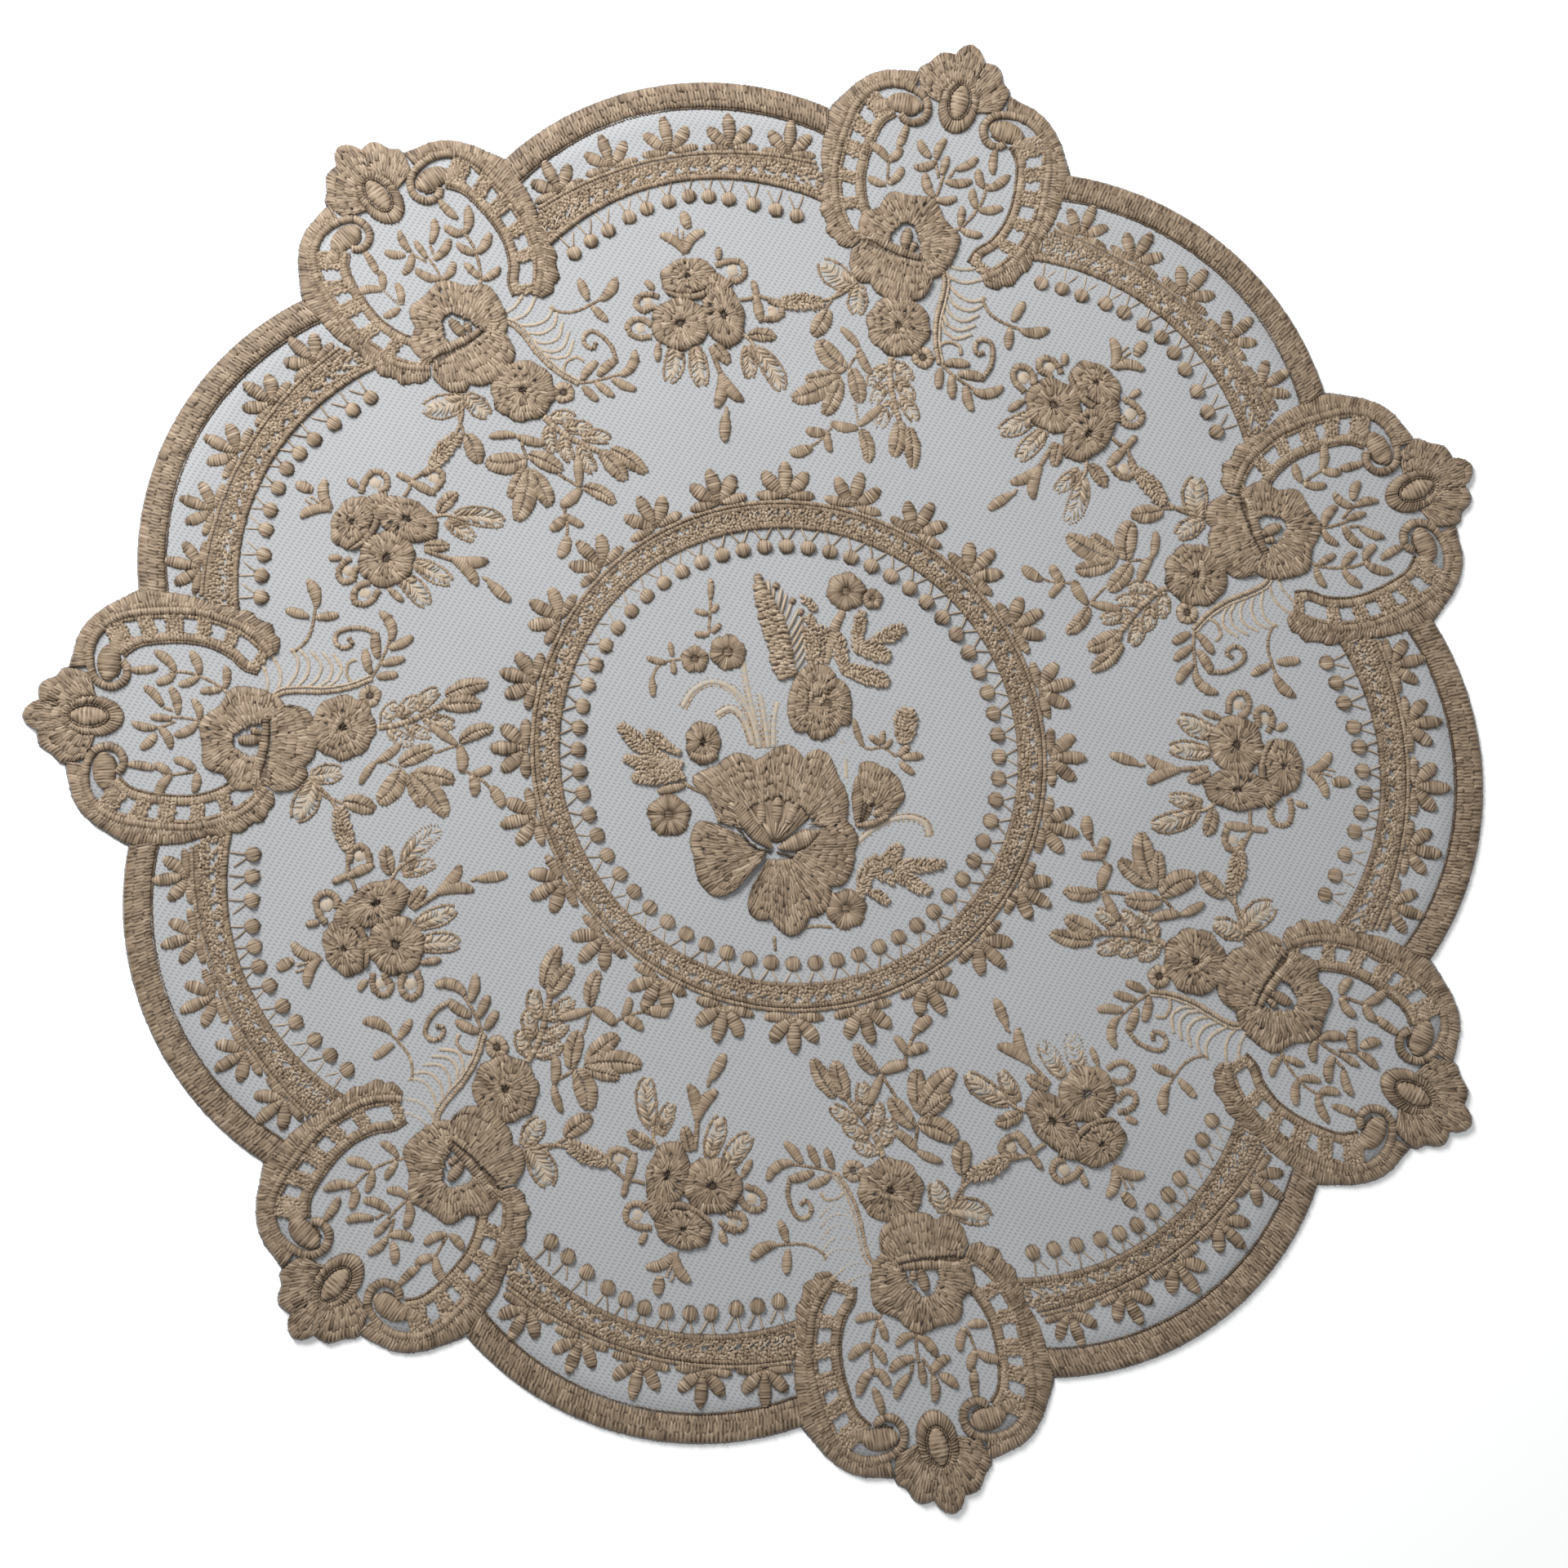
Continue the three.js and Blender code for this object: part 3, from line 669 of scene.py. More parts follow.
def arc_spray():
    """Three roses in a cluster with the loops, leaves and stems round them."""
    parts = leaves(light_leaf, SPRAY_LIGHT) + leaves(split_leaf, SPRAY_SPLIT)
    for points in SPRAY_LOOPS:
        side, out = np.mean(points, axis=0)
        parts.append(figure((side, out - 2), (side, out + 2), 4.2, "ball", top=NET_OVER + 0.2,
                            tone=0.84, pitch=1.3, groove=0.1, rim=0))
        parts.append(cord(points, 2.2, lean=0.0, pitch=0.8, ragged=0.2))
    parts += rosette((-6.7, 113.6), 16.4, 15.4, 6, 0.1, turn=0.3)
    parts += rosette((4.9, 113.8), 11.4, 18.6, 7, 0.08, top=CORD + 0.1)
    parts += rosette((-2.2, 125.8), 15.8, 10.6, 7, 0.06, top=CORD + 0.05)
    parts.append(satin(curve([(-9.2, 123.6), (-5, 121.8), (0, 121.4), (4, 122.4)]),
                       curve([(-8.6, 121.8), (-5, 119.6), (0, 119), (4.2, 120.4)]),
                       pitch=0.95, top=ROSE))
    parts += fan([(1.8, 120.6), (4, 121), (6.4, 120)], [(1.6, 123.4), (5, 126), (9.6, 121.8)], top=ROSE)
    parts += leaves(solid_leaf, SPRAY_SOLID)
    parts += braid_leaf((19.2, 114.6), (31, 112.4), 5.2, 0.05)
    return parts + [cord(points, wide, tone=tone) for points, wide, tone in SPRAY_STEMS]


# Corner medallion, in the frame of a scallop's tip. Its two sides mirror about AXIS.
AXIS = 0.5
# Right side: the hooked outer cord, whose hook is its first HOOK points
FRAME_LINE = (
    (15, 170.8), (12.6, 169.2), (9.6, 170), (8.1, 173.3), (9.5, 176.7), (13, 178.4), (17, 178.7),
    (21, 177.4), (24.8, 174), (27, 168.5), (28, 160), (28, 152), (26.6, 146), (24.2, 140),
    (21, 136), (17.4, 133.2))
HOOK = 5
# Facing points of the ladder's two sides, and where its rungs start and end along them
RUNG_OUTER = ((23.5, 176.4), (26.4, 172), (27.6, 166), (28.2, 160), (28.2, 153), (27, 146.8),
              (24.6, 140.5), (21.3, 136), (18.5, 133.2))
RUNG_INNER = ((16.4, 171), (19.3, 167.3), (20.4, 163), (20.9, 158.5), (20.9, 153), (19.9, 148),
              (17.8, 143.4), (14.6, 139.6), (13.6, 136.2))
RUNGS = ((0.0, 1.0), (1.6, 2.35), (2.85, 3.55), (4.15, 4.8), (5.45, 6.0), (7.2, 8.0))
# Outer edge of the ruffle, and how many scallops the whole of it would have
RUFFLE_OUTER = (
    (12, 184.5), (17, 183.4), (23, 181.4), (27.8, 177), (31.2, 171.6), (34, 166.2), (33.6, 160),
    (32.8, 153.5), (30.6, 147.5), (29.4, 141.5), (26.8, 136.4), (23.6, 132.2), (18.6, 131.2))
RUFFLE_SCALLOPS = 12


def hand(points, side):
    """Right-hand points as they are, or mirrored about the medallion's axis when side is -1."""
    p = np.asarray(points, float)
    return p if side > 0 else p * (-1, 1) + (2 * AXIS, 0)


def medallion_ruffle(side):
    """Satin from the cord out to an edge that is scalloped near its low end, and the cord with
    its hook."""
    inner, outer = curve(hand(FRAME_LINE[HOOK:], side), 14), curve(hand(RUFFLE_OUTER, side), 14)
    share = np.linspace(0, 1, 120)
    inner, outer = (at(e, np.linspace(0, 1, len(e)), share) for e in (inner, outer))
    scallops = 0.34 * np.abs(np.sin(np.pi * RUFFLE_SCALLOPS * share)) - 0.05
    lobes = smooth((share - 0.68) / 0.08) * scallops
    edge = outer + (lobes - 0.06)[:, None] * (outer - inner)
    # The cord's right ends are darkened a little more by painted shade (dusk)
    return fan(inner, edge, 2, top=1.8, rough=0.5, pitch=0.8, slits=0.36) + [
        column(curve(hand(FRAME_LINE, side)), 2.7, top=CORD + 0.15, lean=0.3, dusk=0.1)]


# Figures in the hook: foot, tip, width, shape, bend, top
HOOK_FIGURES = (
    ((23, 171.4), (15.6, 173.4), 5.0, "leaf", 0.06, FIGURE + 0.1),
    ((19, 173.6), (9.6, 174.2), 6.8, "ball", 0.0, CORD),
    ((12.6, 168.8), (13.5, 161.4), 3.0, "leaf", -0.05, FIGURE))


def medallion_ladder(side):
    """The ladder's side rails, its rungs of short stitches, and what curls in the hook."""
    rung_out, rung_in = curve(hand(RUNG_OUTER, side)), curve(hand(RUNG_INNER, side))
    out = sideways(rung_in) * side
    parts = [column(rung_in + 0.5 * out, 3.0, pitch=0.85, lean=0.2),
             column(rung_in - 0.9 * out, 1.0, top=FIGURE + 0.1, lean=0.4, tone=0.3),
             column(rung_out - sideways(rung_out) * 1.6 * side, 1.5, pitch=0.85, tone=0.46)]
    place = np.linspace(0, len(RUNG_OUTER) - 1, len(rung_out))
    for start, end in RUNGS:
        where = np.linspace(start, end, 8)
        a, b = at(rung_out, place, where), at(rung_in, place, where)
        parts.append(satin(a, b, top=LOW + 0.2, pitch=0.9, tone=0.47))
        parts.append(granite(a, b, long=1.5, top=1.4, tone=0.52))
    for foot, tip, wide, shape, bend, top in HOOK_FIGURES:
        foot, tip = hand([foot, tip], side)
        parts.append(figure(foot, tip, wide, shape, bend * side, top=top, groove=0.17))
    # Line of painted shadow in the hook
    return parts + shadow_lines([hand([(10.6, 172), (12.6, 171), (15.4, 171.6)], side)], top=CORD + 0.1)


# Crown at the tip: inner line and outer line of each fan, and the routes of the painted
# shadow lines between the fans
CROWN = (
    ([(-3.8, 180.4), (-4.3, 178.6), (-4.2, 176.6)], [(-9.6, 187.2), (-12.2, 184.3), (-10.6, 178.2)]),
    ([(4.7, 180.4), (5.2, 178.6), (5.1, 176.6)], [(10.2, 187.4), (12.8, 184.4), (11.6, 178.2)]),
    ([(-2, 183), (-3.2, 181.6), (-3.9, 180)],
     [(-3.4, 191.4), (-6, 191.2), (-8.4, 189.6), (-10.2, 186.6)]),
    ([(2.8, 183), (4, 181.6), (4.8, 180)],
     [(4, 191), (6.6, 191.5), (8.8, 190.4), (10.6, 186.8)]),
    ([(-2.4, 182.7), (0.4, 184), (3, 182.7)],
     [(-4, 190.8), (-2.4, 193.8), (0.3, 195.2), (3, 193.4), (4.4, 190.8)]))
CROWN_SHADOW_LINES = (((-3.9, 190.4), (-2.4, 184)), ((-9.8, 186.4), (-5, 182)), ((4.2, 190.4), (3.2, 184)),
               ((10.2, 186.6), (5.8, 182)))


def medallion_crown():
    """Fans of the tip with painted shadow lines between them, over a padded ring whose inner edge is
    darkened by painted shade, with an oval bead in it.
    """
    parts = []
    for i, (inner, outer) in enumerate(CROWN):
        parts += fan(inner, outer, top=1.85 + 0.05 * i, rough=0.6)
    parts += shadow_lines([(foot, np.mean([notch, foot], axis=0), notch) for notch, foot in CROWN_SHADOW_LINES],
                     top=2.15)
    parts.append(satin(oval((0.4, 178.4), 5.4, 9.4), oval((0.4, 177.2), 11, 16.4), top=CORD + 0.25,
                       loop=True, groove=0.45, uneven=0.13))
    # Dark ring inside the padded one: painted shade on its inner edge
    parts.append(satin(oval((0.4, 178.4), 5, 9), oval((0.4, 178.4), 6.4, 10.6), top=ROSE + 0.1,
                       loop=True, tone=0.3, lean=0.3))
    parts.append(figure((0.4, 173.6), (0.4, 183), 5.6, "ball", pitch=1.0, top=CORD, tone=0.55))
    return parts


# Leaves of a corner, by kind
MEDALLION_SOLID = (
    (-13.8, 157, -20, 160.6, 3.4, -0.1), (-14, 157.2, -11.4, 162, 3.2, -0.1),
    (-12.8, 151, -18, 151.8, 3.2, 0.12), (-12.6, 151.1, -9.8, 156.8, 3.2, -0.1),
    (12.2, 157, 9.6, 162, 3.2, 0.1), (12.4, 157, 17.6, 162.8, 3.4, -0.1),
    (11.8, 151, 9.4, 156.4, 3, 0.1), (11.8, 151.2, 18, 153.6, 3.3, -0.1),
    (8.4, 145.2, 7.8, 151, 2.7, 0), (8.6, 145, 14.6, 144.8, 3, -0.12),
    (0.2, 151, -3.5, 157, 3.4, 0.14), (0.4, 150.8, 5.8, 152.8, 3.1, -0.14),
    (1.4, 156.4, 8.6, 158.4, 3.4, -0.12), (0.4, 157.4, 0.9, 163.2, 2.7, 0),
    (3.4, 160, 8.6, 165, 3.1, -0.08), (-3.2, 161.4, -7.2, 165.4, 3.4, 0.12),
    (-1.8, 161, -0.6, 167.6, 3, 0.1), (-1.8, 161, -7.2, 157.8, 3.4, 0.16),
    (27.6, 124, 29.4, 130.2, 3.3, 0), (27.6, 122.8, 28.2, 116.6, 3.0, 0),
    (30, 122.6, 37.4, 125, 3.9, -0.12), (12.6, 107, 13.3, 101.2, 3.2, 0),
    (15.8, 106, 17.5, 99.6, 3.0, 0), (20, 104.2, 23.4, 97.8, 3.4, -0.06),
    (13.2, 108, 19.8, 109.6, 3.3, 0.08), (17.2, 106.4, 24.2, 107.2, 3.6, 0.06),
    (21.8, 103.6, 29.4, 106.6, 3.6, -0.2), (-4, 85.4, -11.4, 84.6, 4.1, 0.08),
    (-11.6, 82, -17.2, 81.4, 3.9, 0.12), (-11.4, 82.2, -9.4, 77, 3.1, -0.1),
    (-14.4, 77.2, -19.8, 74.2, 4.2, 0.1), (-9, 105.8, -15.2, 110, 3.0, -0.06),
    (-9.4, 106.4, -4.3, 100, 3.3, -0.06), (-4.4, 85.6, 0.6, 92.8, 3.3, 0))
MEDALLION_SPLIT = (
    (-19.4, 114.2, -21.7, 105.8, 5.6, 0.06), (-10.6, 99.6, -19.6, 105.4, 6.8, 0.1),
    (-10, 100.4, -5.3, 91.6, 5.4, 0.05), (-11.6, 97.4, -22.8, 88, 6.8, 0.06),
    (-11.8, 98, -20.6, 93.8, 4.6, 0), (-11.8, 96.8, -13.5, 86, 5.6, 0.04),
    (-3.8, 85.4, 0.5, 76.8, 4.4, 0.1), (5.6, 90.4, 6.4, 80.2, 5.6, 0.05),
    (8.2, 89.4, 11.8, 78.6, 5.0, 0.06))
MEDALLION_LIGHT = (
    (-13.6, 121.8, -24.2, 126, 6.2, 0.08), (-13.2, 122.6, -12, 114.4, 4.8, 0),
    (0.2, 104.4, 5.8, 101, 3.4, 0.12), (1.6, 100.4, 7.4, 95.6, 3.6, 0.12),
    (4, 95.8, 9.6, 91, 3.6, 0.12), (-0.6, 103.4, -3.9, 96.6, 3.3, -0.1),
    (0.8, 99, -1.7, 92.4, 3.1, -0.1), (2.8, 94.8, 1.2, 86.6, 3.6, -0.06))
# Petals of the corner rose: inner line, outer line and top
ROSE_PETALS = (
    ([(-7, 133), (-11, 133.2), (-15.4, 134)],
     [(-9.4, 124.4), (-13.2, 122.6), (-16.8, 125.8), (-17.6, 130.4)], 1.95),
    ([(3.4, 133), (-3, 132.8), (-9.4, 132.8)],
     [(5.2, 128.4), (3.6, 123.2), (-3.4, 120.2), (-9.6, 122.2), (-11.4, 126.4)], 2.0),
    ([(0.4, 133.4), (2.4, 134), (3.8, 134.6)], [(4.4, 128.6), (7.4, 131.2), (8.8, 135)], 1.95),
    ([(-8.4, 135.2), (-8.2, 138.2), (-7, 140.4)], [(-16.6, 134.6), (-17.6, 141), (-12.8, 145.2)], 1.95),
    ([(-7.4, 139.8), (-6, 141.6), (-4.2, 142)], [(-13.6, 144.2), (-11.4, 149.6), (-5.2, 150.2)], 2.0),
    ([(-5, 142), (-3.2, 141.6), (-1.8, 140)], [(-6.4, 150.2), (0.2, 151), (5, 145.6)], 1.95),
    ([(-2.4, 140.6), (-1, 138.2), (-0.2, 135)], [(3.8, 146.4), (9.6, 142.2), (8.8, 133.8)], 2.0),
    ([(-1.4, 140), (0, 137.6), (0.6, 134)], [(3.2, 144.6), (5.6, 139.6), (4.4, 133)], 2.15))


def petals(rows, **how):
    """Fans from rows of inner line, outer line and top, each over the ones before."""
    return sum((fan(inner, outer, top=top, **how) for inner, outer, top in rows), [])


def corner_rose():
    """Round of petals, a rolled one over a dark band of painted shadow below its middle, and two
    stamens.
    """
    return petals(ROSE_PETALS, feet=0.35) + [
        column(curve([(-15.8, 136.6), (-10, 135.2), (-4, 134.2), (2.6, 133.8)]), 3.2, "bow",
               top=ROSE + 0.1, groove=0.42, uneven=0.13),
        # Painted shadow under the rolled petal: a low wide dark band and a thin darker line
        column(curve([(-16, 134.4), (-8, 133.2), (3.2, 132.6)]), 3.6, top=LOW, tone=0.24, pitch=1.2),
        column(curve([(-15, 133.9), (-8, 132.7), (2.4, 132.3)]), 0.8, top=1.7, tone=0.2),
        figure((-4.2, 135), (-4.4, 141), 3.8, "ball", top=ROSE, tone=0.46),
        figure((-2.4, 135), (-1.6, 138), 2.6, top=CORD)]


def small_rose():
    """Rose below the corner rose, with one rolled petal and two painted shadow lines."""
    parts = rosette((-0.6, 114.6), 17.8, 17.4, 8, 0.08)
    parts.append(cord([(-3.6, 117.6), (-0.6, 116.6), (2.6, 115)], 2.2, top=ROSE + 0.1, lean=0,
                      tone=0.56))
    parts += shadow_lines([[(-4, 115.8), (-1, 115), (2.4, 113.4)]], top=ROSE)
    return parts + shadow_lines([[(-0.6, 114.6), (-0.8, 111.8), (-0.4, 110)]], 0.5, ROSE)


FEATHER_BARBS = (
    ((7.5, 134), (12, 134.2), (17.6, 136.8)), ((8.4, 131.4), (13, 130.8), (18.4, 133.6)),
    ((9, 129.4), (13, 126.9), (16.6, 126.6), (19.6, 128.6)),
    ((9, 127), (12.6, 124.2), (16.4, 124), (19.4, 126.6)),
    ((9.2, 124.4), (12, 121.4), (15.6, 120.8), (19, 123.6)),
    ((9.2, 122), (11.6, 118.8), (15, 118), (18.8, 120.6)),
    ((9.6, 119.6), (11.4, 116.8), (14.6, 115.6), (18.4, 118)))


def feather():
    """Pale plume beside the roses: a stem of two strands, and barbs that hang from it in bows."""
    return [cord(points, 1.3, top=LOW + 0.05, pitch=1.0, tone=0.88, uneven=0.06, rim=0.1)
            for points in FEATHER_BARBS] + [
        cord([(4.4, 134), (7.6, 131), (8.4, 126), (8.4, 120), (9.4, 114), (12, 107.6)], 1.5, tone=0.6),
        cord([(6, 134.4), (9, 130.6), (9.6, 125), (9.6, 119), (10.8, 113), (13, 108)], 0.9, tone=0.75)]


CORNER_STEMS = (
    ((-14, 159.5), (-13.6, 156), (-12.6, 151.2)), ((12.4, 159), (12.6, 155), (11.8, 150.8)),
    ((11.8, 151.4), (10.6, 148.4), (8.6, 145), (5.6, 142.6)), ((0.2, 150), (0.8, 154), (1, 158)),
    ((-2, 163), (-1.6, 160), (0, 156.6)), ((2.4, 157), (3.4, 160)),
    ((-8.6, 105), (-9.8, 102.6), (-10.6, 99.4)), ((-6.8, 92), (-5.4, 88.6), (-4.1, 85.6)),
    ((-10.6, 84.2), (-11.6, 82), (-13.6, 78.4), (-15.6, 76.6)),
    ((18.4, 128.6), (20, 125.9), (23.4, 123.8), (27.4, 123), (31, 122.6)),
    ((11.6, 108.4), (16, 106), (22.6, 103.6)), ((-17, 121), (-18.6, 117.6), (-20, 114)))
CURL = ((23.4, 106.4), (24.9, 110), (24.9, 114), (23.6, 117), (21, 117.2), (19.9, 115), (21, 113.2),
        (22.6, 114.2))


def medallion_sprays():
    """Leaves and stems inside a medallion and below it, with a small rose and a curl."""
    parts = leaves(light_leaf, MEDALLION_LIGHT) + leaves(split_leaf, MEDALLION_SPLIT)
    parts += rosette((7.6, 108.2), 6.6, 6.6, 5, 0.2, top=FIGURE, tone=0.6)
    parts += [cord(points, top=FLAT) for points in CORNER_STEMS]
    parts.append(cord([(-0.5, 106.4), (0, 102.6), (1.8, 97.4), (4.6, 92), (6.8, 88)], 2.0, tone=0.55,
                      pitch=0.95, uneven=0.16))
    parts.append(cord(CURL, 1.6, tone=0.52, lean=0))
    parts.append(cord([(10.8, 112.6), (13, 114.2), (15.8, 114), (17, 111.8)], tone=0.66, top=FLAT))
    return parts + leaves(solid_leaf, MEDALLION_SOLID)


# Ring around the middle: its centre and radii, its double outer cord and its inner one (radius,
# width, tone), and count, first angle and radius of its palmettes and its drops
RING = (-1.5, -2.0)
RING_INNER, RING_OUTER = 59.2, 64.8
RING_CORDS = ((RING_OUTER + 0.7, 1.5, 0.52), (RING_OUTER - 0.55, 1.8, 0.44), (RING_INNER, 1.7, 0.44))
RING_PALMETTES = (24, 14, RING_OUTER)
RING_DROPS = (60, 5, 53.8)


def ring_line(radius):
    """Circle on the ring's centre."""
    return oval(RING, 2 * radius, 2 * radius, steps=240)


def ring_band():
    """Lattice between a double cord on its outer side and a single one on its inner side."""
    outer, inner = ring_line(RING_OUTER - 1.0), ring_line(RING_INNER + 0.4)
    parts = lattice(*(np.concatenate([line, line[:1]]) for line in (outer, inner)), (1.6, 0.24, 1.2))
    return parts + [satin(ring_line(radius - wide / 2), ring_line(radius + wide / 2), lean=0.4,
                          loop=True, tone=tone, rim=0.34) for radius, wide, tone in RING_CORDS]


def around_ring(make, count, first, radius):
    """Copies of a figure on the ring, each made anew and pointing out from the ring's centre."""
    parts = []
    for i in range(count):
        turn = first + i * 360 / count
        a = math.radians(turn)
        parts += standing(make(), RING[0] + radius * math.cos(a), RING[1] + radius * math.sin(a),
                          turn - 90)
    return parts


# Bouquet in the middle, in the mat's own x and y. Petals: inner line, outer line, top
PEONY_BACK = (
    ([(-14.6, -21.4), (-14.4, -19), (-13, -16.6)],
     [(-20.5, -19.8), (-21.4, -16.6), (-23.4, -13.2), (-26.8, -9.4), (-25.6, -7), (-20.4, -4.8)], 1.9),
    ([(2, -17.6), (3.6, -19.4), (4.6, -21)],
     [(10, -6.2), (12.6, -10.4), (13.4, -13.8), (13.2, -17.4), (12, -20.2)], 1.9),
    ([(-14, -18.4), (-11.4, -15.8), (-8.4, -14.6)],
     [(-22, -6.6), (-19, -3.6), (-16.2, -1.9), (-13.4, -1.8), (-10, -3.4)], 1.95),
    ([(-1.8, -14.6), (1, -16), (3.2, -19)],
     [(1.4, -4), (3.8, -1.4), (6.6, -0.8), (9.2, -2.8), (11.2, -8)], 1.95),
    ([(-9.8, -15), (-5.2, -13.8), (-0.6, -15)],
     [(-11.6, -3.8), (-8.4, -2.6), (-5, -0.2), (-1.6, 0.5), (1, -1.2), (2.8, -4.2)], 2.0))
PEONY_FRONT = (
    ([(-15.2, -22.6), (-11.6, -26.2), (-7.8, -27.9)],
     [(-20.8, -20), (-25.6, -19.4), (-27.8, -23.4), (-27.6, -26.8), (-26.2, -30.8)], 2.0),
    ([(-8.4, -27), (-8.6, -28.2), (-9.2, -29.2)],
     [(-27.4, -28.4), (-26.6, -33), (-25, -36.6), (-21.6, -39), (-17, -37.6), (-13.2, -33.8)], 2.0),
    ([(5.8, -21.4), (3.2, -25), (-0.2, -27.8)],
     [(12, -18.2), (14.4, -20.9), (15.6, -24.4), (14.2, -28.6)], 2.0),
    ([(0.4, -26.8), (-1, -27.8), (-1.8, -29.2)],
     [(14.8, -27), (14, -31.6), (11.6, -35.8), (7.2, -36.6)], 2.0),
    ([(-8, -29), (-7.4, -31), (-6, -32.2)],
     [(-12.2, -36), (-13.6, -40.4), (-12.8, -43.8), (-10, -45.2), (-7.2, -44.4)], 2.0),
    ([(-3.2, -32), (-1.8, -30.6), (-1.2, -28.8)],
     [(1.2, -44.6), (4.4, -44.2), (7.2, -42), (8.2, -39), (8, -34.8)], 2.0),
    ([(-6.8, -31.6), (-4.6, -32.6), (-2.2, -31.6)],
     [(-8.2, -44.4), (-6, -47.2), (-3, -49.2), (0, -48.2), (2.4, -44.4)], 2.05),
    ([(-8, -28.9), (-4.8, -29), (-1.2, -28.6)],
     [(-10.4, -34.4), (-8, -36.2), (-4.8, -37), (-1.6, -36.2), (3.2, -33.4)], 2.1))
BUD = (
    ([(16.8, -16), (18, -15), (19, -15.4)],
     [(15.6, -7), (16.6, -4.2), (19.6, -3.7), (22.6, -5.4)], 1.9),
    ([(18.6, -15), (19.6, -15.6), (19.8, -16.6)],
     [(21.6, -5), (24.6, -6.2), (26.8, -8.6), (27.6, -11.4)], 1.95),
    ([(19.2, -16), (19.6, -17), (19.2, -18.2)],
     [(27.2, -10.2), (28.2, -13), (26.6, -15.4), (23, -19)], 1.9))
# Small round flowers: x, y, width, lobes
HOLED = ((14.5, 40, 11, 6), (21.2, 38, 6, 5), (-16.5, 24, 10.8, 6), (-25, 22.2, 8.2, 5),
         (-32.7, -18, 12, 5), (11.5, -42, 11.4, 6))
FERN_RIB = (
    (-7.4, 42.6), (-4.9, 37.9), (-3.1, 34.5), (-1.4, 30.3), (-0.7, 25.5), (0.3, 20.7), (0.6, 18))
FERN_LEFT = (
    (-8.8, 42), (-8.5, 38), (-7.8, 33), (-7.2, 29), (-5.6, 25), (-4.9, 20.7), (-3.2, 16.6))
FERN_RIGHT = (
    (-6.4, 43.2), (-3.4, 41.6), (-0.6, 38.8), (2.2, 35.2), (3, 31), (3.6, 27), (4.2, 23.6), (3.4, 20))
# Knots at the tips of its right edge: x, y, size
FERN_KNOTS = ((-3.6, 41.4, 3.2), (0.5, 37.4, 3), (2.6, 34.6, 2.6), (3.2, 30, 2.2), (3.8, 25.6, 2.4))
FERN_LEAVES = ((5.4, 20, 4.4, 30, 4.2, 0), (6.6, 34.8, 3, 38.8, 2.6, 0), (6.2, 30.4, 4.2, 33.8, 3, 0))
BOUQUET_BRAID = (
    (16.2, 25.4, 18.4, 34.8, 3.8, 0), (20.8, 27.4, 29, 31, 4.4, -0.08),
    (15.6, 25.6, 25, 22.4, 5.4, 0.06), (12.4, 19.6, 24.4, 15.9, 5.6, 0.05),
    (13.2, 19.4, 11.6, 29, 4.6, 0), (27.6, 0.4, 29.2, 9.6, 6.8, 0),
    (-29.6, -6.4, -44.6, 5.4, 4.8, 0.05), (-29, -4.6, -43.6, -3.2, 4.4, 0.08),
    (-28.6, -7.8, -41.8, -8.4, 4.4, 0), (-29.5, -2, -37.6, 3.6, 3.8, 0.05),
    (15.4, -39, 20, -28.6, 4.8, 0.08), (19, -32, 26, -25.6, 4.2, -0.05),
    (22, -29.6, 37, -30.4, 4.2, -0.06), (24, -31, 33.2, -37.6, 4.4, -0.08),
    (17, -37, 22.4, -40.2, 3.6, 0), (19.6, -33.4, 25.6, -34.8, 3.6, 0))
BOUQUET_SOLID = (
    (-20.6, 37.4, -20.2, 43.4, 2.2, 0), (-20.8, 34.2, -24.8, 35.2, 2.3, 0.1),
    (-20.6, 34.2, -18.5, 36.6, 2.2, 0), (-21, 28.8, -25, 29.2, 2.6, 0.1),
    (-20.8, 29, -18, 31.4, 2.4, 0), (-32, 21.4, -37.4, 23, 2.5, 0.1),
    (-30.8, 22.6, -31.2, 26.8, 2.2, 0), (-30.6, 22, -30.5, 18.2, 2.2, 0),
    (-36, 18, -36, 12.4, 2.6, 0),
    (17.6, -0.6, 15.4, 7, 2.6, 0.06),
    (22, 0, 19, 2.6, 2.6, 0), (22, 0, 22.8, 3.8, 2.5, 0), (22.4, -1, 25, 1.4, 2.2, 0),
    (26, -3, 29.4, 0, 2.8, 0), (26.8, -3.4, 32.8, -3, 3.1, 0.05), (26.4, -4.2, 30.2, -7.6, 2.9, 0),
    (-28.2, -10.4, -35.6, -11.8, 3.2, 0))
BOUQUET_STEMS = (
    ((-21.4, 28), (-20.8, 34), (-20.5, 39)), ((-28, 22.4), (-33, 21.4), (-35.6, 18.6), (-36, 14)),
    ((16, 0.4), (19, -1), (22.4, -0.6), (26, -3)),
    ((0, -46.8), (4, -46.2), (8, -46.6)), ((-7, -48.6), (-6.8, -52.6)),
    ((-22.6, -12.8), (-27.6, -10.4), (-30, -8)))
BOUQUET_TENDRILS = (
    ((-9, -1), (-11.2, 8), (-15, 14), (-20.6, 16.4), (-25.6, 14.2), (-28.8, 9.4)),
    ((-10.6, 0), (-13, 7), (-16.4, 9.6), (-20.2, 7.6)),
    ((-9, -1), (-10.6, 9), (-12, 17), (-12.6, 22.4)),
    ((-6.8, -1), (-7.6, 7), (-8.6, 13.8)), ((-5.6, -1), (-5.2, 6), (-4, 11.8)),
    ((11.8, 3), (12.6, -2), (12.8, -9)),
    ((14.6, -25.4), (19, -21.8), (24, -19.2), (29, -18.6), (32.6, -20.2), (33.6, -23.8)))
